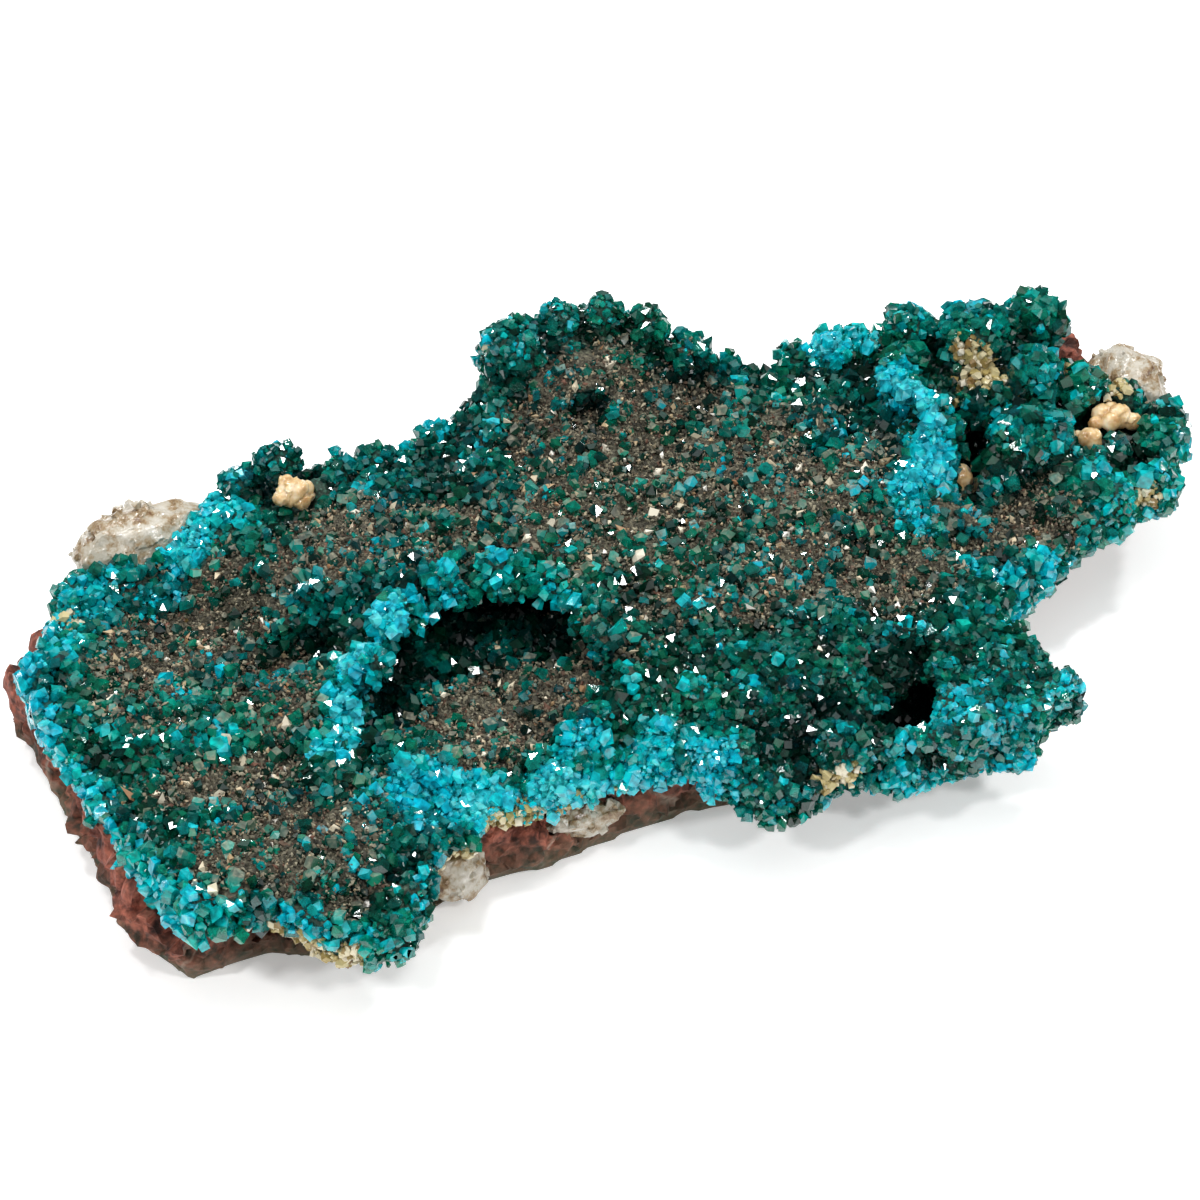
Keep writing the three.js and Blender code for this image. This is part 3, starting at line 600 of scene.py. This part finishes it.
def dusty_dioptase():
    """The same crystals under a film of silt: dull, brown on their upper faces, green where it is thin."""
    material, tree = new_material("dioptase under silt")
    green = dioptase_colour(tree)
    place = add_node(tree, "TexCoord").outputs["Object"]
    grit = add_node(tree, "TexNoise", {"Vector": place, "Scale": 1 / (0.5 * MM), "Detail": 4.0})
    silt = add_node(tree, "ValToRGB", {"Fac": grit}, [(0.3, "#35332A"), (0.5, "#625F50"), (0.7, "#969079")])
    patch = add_node(tree, "TexNoise", {"Vector": place, "Scale": 1 / (1.6 * MM), "Detail": 3.0})
    normal = add_node(tree, "NewGeometry").outputs["Normal"]
    facing = add_node(tree, "SeparateXYZ", {"Vector": normal}).outputs["Z"]
    lying = add_node(tree, "Math", {0: facing, 1: patch}, operation="MULTIPLY")
    film = add_node(tree, "MapRange", {"Value": lying, "From Min": 0.2, "From Max": 0.5, "To Min": 0.05,
                                       "To Max": 0.85})
    colour = add_node(tree, "Mix", {0: film, 6: green, 7: silt}, data_type="RGBA")
    rough = add_node(tree, "MapRange", {"Value": film, "To Min": 0.2, "To Max": 0.8})
    return finished(material, {"Base Color": colour, "Roughness": rough, "IOR": 1.6})


def cream_material():
    """Crusts of cream calcite crystals, half clear, some yellow-green from the dioptase beneath."""
    material, tree = new_material("cream calcite crust")
    tone = add_node(tree, "Attribute", attribute_name="tone").outputs["Fac"]
    colour = add_node(tree, "ValToRGB", {"Fac": tone},
                      [(0.0, "#8A6A3A"), (0.3, "#BFAC6C"), (0.65, "#DCCE9C"), (1.0, "#F4ECD8")])
    return finished(material, {"Base Color": colour, "Roughness": 0.3, "IOR": 1.57,
                               "Transmission Weight": 0.2})


def grain_material(name, stops, roughness):
    """Loose or cemented grains: each has its own colour, and none has a shine."""
    material, tree = new_material(name)
    shade = add_node(tree, "Attribute", attribute_name="shade").outputs["Fac"]
    colour = add_node(tree, "ValToRGB", {"Fac": shade}, stops)
    return finished(material, {"Base Color": colour, "Roughness": roughness, "IOR": 1.5})


def bed_material():
    """The fine dioptase and silt that the crystals stand in: dark green, brown or pale by place."""
    material, tree = new_material("massive dioptase and silt")
    place = add_node(tree, "TexCoord").outputs["Object"]
    grit = add_node(tree, "TexNoise", {"Vector": place, "Scale": 1 / (0.35 * MM), "Detail": 5.0})
    green = add_node(tree, "ValToRGB", {"Fac": grit},
                     [(0.3, "#01140F"), (0.55, "#043F34"), (0.75, "#087563")])
    silt = add_node(tree, "ValToRGB", {"Fac": grit}, [(0.3, "#2B2921"), (0.5, "#545042"), (0.72, "#8A846C")])
    pale = add_node(tree, "ValToRGB", {"Fac": grit}, [(0.3, "#02888C"), (0.55, "#12C8C8"), (0.75, "#90F0E8")])
    dust = add_node(tree, "Attribute", attribute_name="dust").outputs["Fac"]
    lightness = add_node(tree, "Attribute", attribute_name="pale").outputs["Fac"]
    dusty = add_node(tree, "Mix", {0: dust, 6: green, 7: silt}, data_type="RGBA")
    colour = add_node(tree, "Mix", {0: lightness, 6: dusty, 7: pale}, data_type="RGBA")
    bump = add_node(tree, "Bump", {"Height": grit, "Strength": 0.8, "Distance": 0.2 * MM})
    return finished(material, {"Base Color": colour, "Roughness": 0.75, "Normal": bump})


def rock_material(main_colour):
    """Iron-stained sandstone, broken: brick brown, with pale veins, dark spots of painted pit shade, a green
    film low down.
    """
    material, tree = new_material("iron-stained sandstone")
    place = add_node(tree, "TexCoord").outputs["Object"]
    patches = add_node(tree, "TexNoise", {"Vector": place, "Scale": 1 / (6 * MM), "Detail": 8.0,
                                          "Roughness": 0.65})
    stain = add_node(tree, "ValToRGB", {"Fac": patches}, [
        (0.28, "#341B15"), (0.42, "#6E3B2F"), (0.55, "#A05A47"), (0.68, "#B56E57"), (0.82, "#C99A84")])
    main = add_node(tree, "Mix", {0: 0.35, 6: stain, 7: (*main_colour, 1)}, data_type="RGBA")
    grit = add_node(tree, "TexNoise", {"Vector": place, "Scale": 1 / (0.7 * MM), "Detail": 6.0})
    speckle = add_node(tree, "MapRange", {"Value": grit, "From Min": 0.3, "From Max": 0.7, "To Min": 0.35,
                                          "To Max": 1.45})
    gritty = add_node(tree, "Mix", {0: 1.0, 6: main, 7: speckle}, data_type="RGBA", blend_type="MULTIPLY")
    # Painted shade: dark spots that stand for the shade inside small pits.
    pit_shade = add_node(tree, "TexNoise", {"Vector": place, "Scale": 1 / (1.7 * MM), "Detail": 3.0})
    pit_shaded = add_node(tree, "MapRange", {"Value": pit_shade, "From Min": 0.36, "From Max": 0.5, "To Min": 0.18,
                                         "To Max": 1.0})
    gritty = add_node(tree, "Mix", {0: 1.0, 6: gritty, 7: pit_shaded}, data_type="RGBA", blend_type="MULTIPLY")
    bent = add_node(tree, "TexNoise", {"Vector": place, "Scale": 1 / (9 * MM), "Detail": 4.0})
    bending = add_node(tree, "VectorMath", {0: bent.outputs["Color"], 1: (0.012, 0.012, 0.012)},
                       operation="MULTIPLY")
    moved = add_node(tree, "VectorMath", {0: place, 1: bending})
    cracks = add_node(tree, "TexVoronoi", {"Vector": moved, "Scale": 1 / (20 * MM)},
                      feature="DISTANCE_TO_EDGE")
    vein = add_node(tree, "MapRange", {"Value": cracks, "From Min": 0.0, "From Max": 0.02, "To Min": 0.35,
                                       "To Max": 0.0})
    veined = add_node(tree, "Mix", {0: vein, 6: gritty, 7: hex_colour("#CDBBA8")}, data_type="RGBA")
    height = add_node(tree, "SeparateXYZ", {"Vector": place}).outputs["Z"]
    low = add_node(tree, "MapRange", {"Value": height, "From Min": 0.5 * MM, "From Max": 6 * MM,
                                      "To Min": 1.4, "To Max": 0.0})
    film = add_node(tree, "Math", {0: low, 1: patches}, operation="MULTIPLY")
    colour = add_node(tree, "Mix", {0: film, 6: veined, 7: hex_colour("#4C5A45")}, data_type="RGBA")
    bump = add_node(tree, "Bump", {"Height": grit, "Strength": 0.9, "Distance": 0.3 * MM})
    return finished(material, {"Base Color": colour, "Roughness": 0.82, "Normal": bump})


def quartz_material():
    """Milky quartz, broken: half clear, with brown stains in its cracks and a wet shine on its faces."""
    material, tree = new_material("milky quartz")
    place = add_node(tree, "TexCoord").outputs["Object"]
    stains = add_node(tree, "TexNoise", {"Vector": place, "Scale": 1 / (2.2 * MM), "Detail": 6.0,
                                         "Roughness": 0.7})
    colour = add_node(tree, "ValToRGB", {"Fac": stains}, [
        (0.34, "#74543A"), (0.43, "#A8906E"), (0.52, "#CDC4B2"), (0.66, "#E4DFD4"), (0.85, "#F2EFEA")])
    grit = add_node(tree, "TexNoise", {"Vector": place, "Scale": 1 / (0.5 * MM), "Detail": 4.0})
    bump = add_node(tree, "Bump", {"Height": grit, "Strength": 0.5, "Distance": 0.12 * MM})
    return finished(material, {"Base Color": colour, "Roughness": 0.22, "IOR": 1.54,
                               "Transmission Weight": 0.25, "Normal": bump})


def calcite_material():
    """Cream calcite in round beads: waxy, in pale cream clouds, with honey-brown depths."""
    material, tree = new_material("cream calcite")
    place = add_node(tree, "TexCoord").outputs["Object"]
    clouds = add_node(tree, "TexNoise", {"Vector": place, "Scale": 1 / (1.4 * MM), "Detail": 5.0})
    colour = add_node(tree, "ValToRGB", {"Fac": clouds},
                      [(0.3, "#B08654"), (0.5, "#DCBD8C"), (0.72, "#F2E2C4")])
    return finished(material, {
        "Base Color": colour, "Roughness": 0.22, "IOR": 1.57, "Subsurface Weight": 0.4,
        "Subsurface Radius": (1.0, 0.7, 0.4), "Subsurface Scale": 0.8 * MM})


class SPECIMEN_OT_rock(bpy.types.Operator):
    """Breaks the slab's surface into lumps, pits and sharp edges"""
    bl_idname = "specimen.rock"
    bl_label = "Rock"

    def execute(self, context):
        settings = context.scene.specimen_rock
        piece = remeshed("rock", "matrix_rock", settings.voxel, 2)
        mesh = piece.data
        points, normals = surface_arrays(mesh)
        broken = 0.5 * rough_noise(points, 6 * MM, 31) + 2.9 * chipped(points, 4.5 * MM, 33)
        broken += 1.8 * chipped(points, 1.9 * MM, 41) + 0.9 * knob_height(points, 2.4 * MM, 34) - 0.7
        broken -= 1.3 * smooth_step(0.3, 0.7, smooth_noise(points, 2.2 * MM, 37))
        standing = smooth_step(0.15 * MM, 3 * MM, points[:, 2])  # the face it rests on stays flat
        points = points + normals * (broken * MM * standing)[:, None]
        set_vertices(mesh, kept_in_box(points))
        finish_piece(piece, "rock", rock_material(settings.colour), "matrix_rock")
        return {"FINISHED"}


class SPECIMEN_OT_druse(bpy.types.Operator):
    """Grows the druse: a rough bed, and crystals on it that are pale, green, dark or dusty by place, with
    painted shade in its hollows
    """
    bl_idname = "specimen.druse"
    bl_label = "Druse"

    def execute(self, context):
        settings = context.scene.specimen_druse
        random = np.random.default_rng(settings.seed)
        mesh, hollow = self.bed(settings)
        crust_at, crust_up, _ = surface_samples(mesh, FINE_CELL, random, hollow)
        at, upright, hollow = surface_samples(mesh, CRYSTAL_CELL, random, hollow)
        outer = (upright[:, 2] > -0.7) & ~beside_calcite(at, 1.1)
        at, upright, hollow = at[outer], upright[outer], np.clip(hollow[outer], -0.7, 1.4)
        count = len(at)

        # The tone of each crystal, from 0 in the deepest to 1 in the palest, with painted shade in hollows
        # and painted light on bumps
        clumps = 0.5 * smooth_noise(at, 5 * MM, 12) + 0.5 * smooth_noise(at, 2.2 * MM, 13)
        dark, pale, dust = druse_areas(at, upright)
        dust = dust * (1 + 0.5 * clumps + 0.5 * hollow)
        knobby = np.clip(area_amount(at, KNOBBY_AREAS), 0, 1)
        big_balls = np.clip(area_amount(at, SMOOTH_AREAS), 0, 1)
        calm = 1 - 0.6 * np.minimum(pale, 1)
        tone = 0.4 + calm * (0.22 * clumps + 0.14 * random.normal(size=count)) + 0.41 * pale
        # Painted shade and light: crystals in the creases between balls are darkened, those on bumps
        # lightened.
        tone -= (0.38 + 0.2 * knobby) * np.maximum(hollow, 0) + 0.12 * np.minimum(hollow, 0)
        tone -= 0.07 * big_balls * (1 - np.minimum(pale, 1))
        # Painted shade: crystals in the listed hollows are darkened nearly to black.
        tone = np.clip(tone, 0.08, 1) * (1 - 0.85 * dark)

        # Cream crusts, and the places of the fine pale crystals
        _, crust_pale, _ = druse_areas(crust_at, crust_up)
        fine = (crust_pale > 0.6) & (crust_up[:, 2] > -0.5) & (random.random(len(crust_at)) < 0.45)
        fine_at, fine_up = crust_at[fine] + 0.35 * MM * crust_up[fine], crust_up[fine]
        grown = crust_amount(crust_at) > 0.5 + 0.15 * random.normal(size=len(crust_at))
        crust_at, crust_up = crust_at[grown], crust_up[grown]
        cream = cream_material()
        crystals("cream_crystals", "calcite", cream, crust_at, crust_up, CRUST_WIDTH,
                 random.random(len(crust_at)), random, 0.7, 0.8)

        # The crystals of the whole druse
        bare = random.random(count) < 0.72 * smooth_step(0.25, 1.1, dust) + 0.16 * smooth_step(1.2, 1.8, dust)
        standing = ~(crust_amount(at) > 0.5) & ~bare
        is_dusty = standing & (random.random(count) < 0.38 * smooth_step(0.2, 0.8, dust))
        clear = standing & ~is_dusty
        round_places = np.maximum(knobby, big_balls)
        sizes = settings.crystal_width * (1 - 0.15 * knobby + 0.3 * big_balls)
        sizes = sizes * (1 - 0.1 * smooth_step(0.3, 0.8, dust))
        lean = 0.55 - 0.33 * round_places
        slenderness = 1.0 - 0.4 * round_places
        pale_dioptase = clear_dioptase("pale dioptase", 0.4, 0.1, "#5FE0DA", 250.0)
        emerald = clear_dioptase("emerald dioptase", 0.6, 0.06, "#3FC9A8", 450.0)
        deep = clear_dioptase("deep dioptase", 0.65, 0.05, "#2FA890", 600.0)
        for name, material, chosen in (
                ("pale_crystals", pale_dioptase, clear & (tone > PALE_TONE)),
                ("green_crystals", emerald, clear & (tone > DARK_TONE) & (tone <= PALE_TONE)),
                ("dark_crystals", deep, clear & (tone <= DARK_TONE)),
                ("dusty_crystals", dusty_dioptase(), is_dusty)):
            crystals(name, "dioptase", material, at[chosen], upright[chosen], sizes[chosen], tone[chosen],
                     random, lean[chosen], slenderness[chosen])
        crystals("fine_pale_crystals", "dioptase", pale_dioptase, fine_at, fine_up, FINE_WIDTH,
                 random.uniform(0.7, 1.0, len(fine_at)), random, 0.7, 1.1)

        # The crystals that have a place of their own
        tree = BVHTree.FromPolygons([Vector(point) for point in surface_arrays(mesh)[0]],
                                    [tuple(face.vertices) for face in mesh.polygons])
        for name, places, share, tones, material, slot in (
                ("large_crystals", LARGE_CRYSTALS, 0.72, (0.2, 0.42), deep, "dioptase"),
                ("white_crystals", WHITE_CRYSTALS, 0.8, (0.85, 1.0), cream, "calcite")):
            at, upright, width = self.stands(tree, places)
            tone = random.uniform(*tones, len(at))
            crystals(name, slot, material, at, upright, share * width, tone, random, 0.35, 0.9, 0.08)
        return {"FINISHED"}

    def bed(self, settings):
        """The surface that the crystals stand on: its mesh, and how many mm each vertex lies in a hollow."""
        bed = remeshed("druse_bed", "dioptase_druse", settings.bed_voxel, 3)
        mesh = bed.data
        points, normals = surface_arrays(mesh)
        open_side = smooth_step(-0.75, -0.2, normals[:, 2])  # the seam below stays where it is
        # Deepens the creases between the balls
        relief = -0.8 * np.clip(hollowness(mesh), -0.9 * MM, 1.6 * MM)
        knobby = np.clip(area_amount(points, KNOBBY_AREAS), 0, 1)
        smooth = np.clip(area_amount(points, SMOOTH_AREAS), 0, 1)
        balls = (2.3 * knob_height(points, 6.2 * MM, 5) + 0.5 * knob_height(points, 2.8 * MM, 6) - 2.1) * MM
        lumps = (0.75 * rough_noise(points, 5.5 * MM, 3) - 0.2) * MM
        shift = (knobby * balls + (1 - knobby) * lumps) * (1 - smooth) + relief - settings.bed_depth
        points = points + normals * (open_side * shift)[:, None]
        for rim, low, high, depth in UNDERCUTS:
            near = np.exp(-((line_distance(points[:, :2] / MM, rim) / 4.5) ** 4))
            height = points[:, 2] / MM
            bell = smooth_step(low, low + 1.5, height) * (1 - smooth_step(high - 2, high, height))
            wall = smooth_step(0.95, 0.7, normals[:, 2]) * near * bell * depth * MM
            points[:, :2] -= normals[:, :2] * wall[:, None]
        for x, y, half_x, half_y, depth in DENTS:
            reach = ((points[:, 0] / MM - x) / half_x) ** 2 + ((points[:, 1] / MM - y) / half_y) ** 2
            points[:, 2] -= smooth_step(12, 15, points[:, 2] / MM) * np.exp(-reach ** 2) * depth * MM
        set_vertices(mesh, kept_in_box(points))
        hollow = hollowness(mesh) / MM
        _, pale, dust = druse_areas(points, surface_arrays(mesh)[1])
        set_value(mesh, "hollow", hollow)
        set_value(mesh, "dust", np.clip(1.3 * dust, 0, 1))
        set_value(mesh, "pale", smooth_step(0.45, 0.9, pale))
        finish_piece(bed, "dioptase", bed_material(), "dioptase_druse")
        return mesh, hollow

    def stands(self, tree, places):
        """Where the bed lies under each place in the plan, its normal there, and the crystal's width."""
        hits = [tree.ray_cast(Vector((x * MM, y * MM, 0.05)), Vector((0, 0, -1)))[:2] for x, y, _ in places]
        missing = [place for place, hit in zip(places, hits) if hit[0] is None]
        if missing:
            raise RuntimeError(f"no druse under the single crystals at {missing}")
        at, upright = (np.array([tuple(hit[i]) for hit in hits]) for i in (0, 1))
        return at, upright, np.array([width for _, _, width in places]) * MM


class SPECIMEN_OT_dust(bpy.types.Operator):
    """Strews silt and small pale grains over the flat places of the druse"""
    bl_idname = "specimen.dust"
    bl_label = "Dust"

    def execute(self, context):
        settings = context.scene.specimen_dust
        random = np.random.default_rng(settings.seed)
        mesh = bpy.data.objects["druse_bed"].data
        hollow = np.empty(len(mesh.vertices))
        mesh.attributes["hollow"].data.foreach_get("value", hollow)
        at, upright, hollow = surface_samples(mesh, GRAIN_CELL, random, hollow)
        _, _, dust = druse_areas(at, upright)
        dust = dust * (1 + 0.5 * np.clip(hollow, -0.7, 1)) + 0.3 * smooth_noise(at, 3 * MM, 44)
        chosen = random.random(len(at)) < 0.85 * smooth_step(0.2, 0.85, dust)
        at, upright = at[chosen], upright[chosen]
        lift = random.uniform(0.0, 0.9, len(at)) * MM
        at = at + upright * lift[:, None]
        size = settings.grain * np.exp(0.3 * random.normal(size=len(at)))
        pale = random.random(len(at)) < 0.02
        size[pale] *= 2.2
        silt = grain_material("silt", [
            (0.0, "#2A2821"), (0.3, "#4F4B3E"), (0.38, "#6E4A3B"), (0.46, "#5F5A4B"), (0.7, "#7E7866"),
            (0.9, "#9A937C"), (1.0, "#B09A7C")], 0.85)
        crumbs = grain_material("calcite crumbs", [
            (0.0, "#9A6A48"), (0.25, "#C4AA82"), (0.7, "#E2D6BC"), (1.0, "#F7F4EC")], 0.4)
        grains("silt_grains", "dioptase", silt, at[~pale], size[~pale], random)
        grains("calcite_grains", "calcite", crumbs, at[pale], size[pale], random)
        return {"FINISHED"}


class SPECIMEN_OT_quartz(bpy.types.Operator):
    """Breaks the quartz lumps into small faces"""
    bl_idname = "specimen.quartz"
    bl_label = "Quartz"

    def execute(self, context):
        random = np.random.default_rng(11)
        material = quartz_material()
        for node in ("quartz_left", "quartz_right", "quartz_ledge_front", "quartz_vein_front"):
            name = node.replace("quartz", "quartz_lump")
            piece = remeshed(name, node, 0.3 * MM, 2)
            points, normals = surface_arrays(piece.data)
            broken = 0.8 * rough_noise(points, 4 * MM, 61) + chipped(points, 3.6 * MM, 64)
            broken += 0.16 * chipped(points, 1.2 * MM, 67) - 0.35
            set_vertices(piece.data, kept_in_box(points + normals * (broken * MM)[:, None]))
            finish_piece(piece, "quartz", material, node)
            at, upright, _ = surface_samples(piece.data, 0.8 * MM, random, normals[:, 2])
            some = random.random(len(at)) < 0.02 + 0.3 * smooth_noise(at, 3 * MM, 66)
            some &= upright[:, 2] > -0.5
            at, upright = at[some], upright[some]
            crystals(name + "_points", "quartz", material, at, upright, POINT_WIDTH,
                     np.full(len(at), 0.8), random, 0.9, 0.6)
        return {"FINISHED"}


class SPECIMEN_OT_calcite(bpy.types.Operator):
    """Grows the calcite beads and the nodule as balls that touch"""
    bl_idname = "specimen.calcite"
    bl_label = "Calcite"

    def execute(self, context):
        material = calcite_material()
        for node, balls in CALCITE_BALLS.items():
            work = bmesh.new()
            for x, y, z, radius in balls:
                made = bmesh.ops.create_icosphere(work, subdivisions=3, radius=radius * MM)
                bmesh.ops.translate(work, verts=made["verts"], vec=Vector((x, y, z)) * MM)
            mesh = bpy.data.meshes.new(f"calcite_{node}")
            work.to_mesh(mesh)
            work.free()
            piece = bpy.data.objects.new(mesh.name, mesh)
            context.collection.objects.link(piece)
            mesh = grown_together(piece, 0.13 * MM, 0)
            points, normals = surface_arrays(mesh)
            chips = 0.7 if node == "cream_nodule" else 0.3
            swollen = 0.1 * rough_noise(points, 1.2 * MM, 71) + chips * chipped(points, 1.1 * MM, 73)
            set_vertices(mesh, kept_in_box(points + normals * (swollen * MM)[:, None]))
            mesh.shade_smooth()
            finish_piece(piece, "calcite", material, node)
        return {"FINISHED"}


class SPECIMEN_OT_stage(bpy.types.Operator):
    """Sets up the camera, the lights and the pale table"""
    bl_idname = "specimen.stage"
    bl_label = "Stage"

    def execute(self, context):
        settings = context.scene.specimen_stage
        target = Vector((-6.7, -0.2, 9)) * MM
        flat = math.cos(settings.elevation)
        back = Vector((math.sin(settings.azimuth) * flat, -math.cos(settings.azimuth) * flat,
                       math.sin(settings.elevation)))
        lens = bpy.data.cameras.new("Camera")
        lens.lens = settings.lens
        lens.sensor_width = 36
        lens.shift_y = 28 / 1200  # the specimen lies 28 pixels below the middle of a picture of 1200
        lens.clip_start = 0.01
        camera = bpy.data.objects.new("Camera", lens)
        context.collection.objects.link(camera)
        camera.location = target + back * settings.distance
        camera.rotation_euler = (-back).to_track_quat("-Z", "Y").to_euler()
        context.scene.camera = camera

        # Small lamps all round give each crystal face its chance of a glint, and only a faint shadow.
        self.light(context, "Top", Vector((0.0, 0.08, 0.92)), 0.11, settings.lamp_power)
        for number in range(4):
            turn = math.radians(90 * number + 20)
            place = Vector((0.62 * math.cos(turn), 0.62 * math.sin(turn), 0.62))
            self.light(context, f"Lamp {number + 1}", place, 0.1, settings.lamp_power)
        world = bpy.data.worlds.new("World")
        world.use_nodes = True
        tree = world.node_tree
        background = tree.nodes["Background"]
        background.inputs["Color"].default_value = (1, 1, 1, 1)
        # Bright overhead and dim near the horizon, as under one wide soft light.
        height = add_node(tree, "SeparateXYZ", {"Vector": add_node(tree, "TexCoord")}).outputs["Z"]
        overhead = add_node(tree, "MapRange", {"Value": height, "From Min": 0.72, "From Max": 0.95,
                                               "To Min": 0.08, "To Max": 1.0})
        # The empty space behind the table is white in the picture.
        seen = add_node(tree, "LightPath").outputs["Is Camera Ray"]
        strength = add_node(tree, "Math", {0: overhead, 1: seen}, operation="MAXIMUM")
        tree.links.new(strength.outputs["Value"], background.inputs["Strength"])
        context.scene.world = world
        context.scene.view_settings.view_transform = "Standard"

        table, _ = new_material("white paper lit from below")
        finished(table, {"Base Color": hex_colour("#FCFCFC"), "Roughness": 0.9,
                         "Emission Color": (1, 1, 1, 1), "Emission Strength": 0.34})
        mesh = bpy.data.meshes.new("Table")
        mesh.from_pydata([(-3, -3, 0), (3, -3, 0), (3, 3, 0), (-3, 3, 0)], [], [(0, 1, 2, 3)])
        mesh.materials.append(table)
        floor = bpy.data.objects.new("Table", mesh)
        context.collection.objects.link(floor)
        return {"FINISHED"}

    def light(self, context, name, place, size, power):
        """A square soft light that faces the specimen."""
        lamp = bpy.data.lights.new(name, "AREA")
        lamp.size = size
        lamp.energy = power
        light = bpy.data.objects.new(name, lamp)
        context.collection.objects.link(light)
        light.location = place
        light.rotation_euler = (-Vector(place)).to_track_quat("-Z", "Y").to_euler()


OPERATORS = (SPECIMEN_OT_rock, SPECIMEN_OT_druse, SPECIMEN_OT_dust, SPECIMEN_OT_quartz, SPECIMEN_OT_calcite,
             SPECIMEN_OT_stage)
GROUPS = {"specimen_druse": SpecimenDruse, "specimen_dust": SpecimenDust, "specimen_rock": SpecimenRock,
          "specimen_stage": SpecimenStage}


class SPECIMEN_PT_panel(bpy.types.Panel):
    bl_label = "Specimen"
    bl_space_type = "VIEW_3D"
    bl_region_type = "UI"
    bl_category = "Specimen"

    def draw(self, context):
        for name, group in GROUPS.items():
            box = self.layout.box()
            for prop in group.__annotations__:
                box.prop(getattr(context.scene, name), prop)
        for operator in OPERATORS:
            self.layout.operator(operator.bl_idname)


def register():
    for group in GROUPS.values():
        bpy.utils.register_class(group)
    for name, group in GROUPS.items():
        setattr(bpy.types.Scene, name, PointerProperty(type=group))
    for operator in OPERATORS:
        bpy.utils.register_class(operator)
    bpy.utils.register_class(SPECIMEN_PT_panel)


def unregister():
    bpy.utils.unregister_class(SPECIMEN_PT_panel)
    for operator in reversed(OPERATORS):
        bpy.utils.unregister_class(operator)
    for name in GROUPS:
        delattr(bpy.types.Scene, name)
    for group in GROUPS.values():
        bpy.utils.unregister_class(group)


def main():
    register()
    bpy.ops.specimen.rock()
    bpy.ops.specimen.druse()
    bpy.ops.specimen.dust()
    bpy.ops.specimen.quartz()
    bpy.ops.specimen.calcite()
    bpy.ops.specimen.stage()
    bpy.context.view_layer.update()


if __name__ == "__main__":
    main()
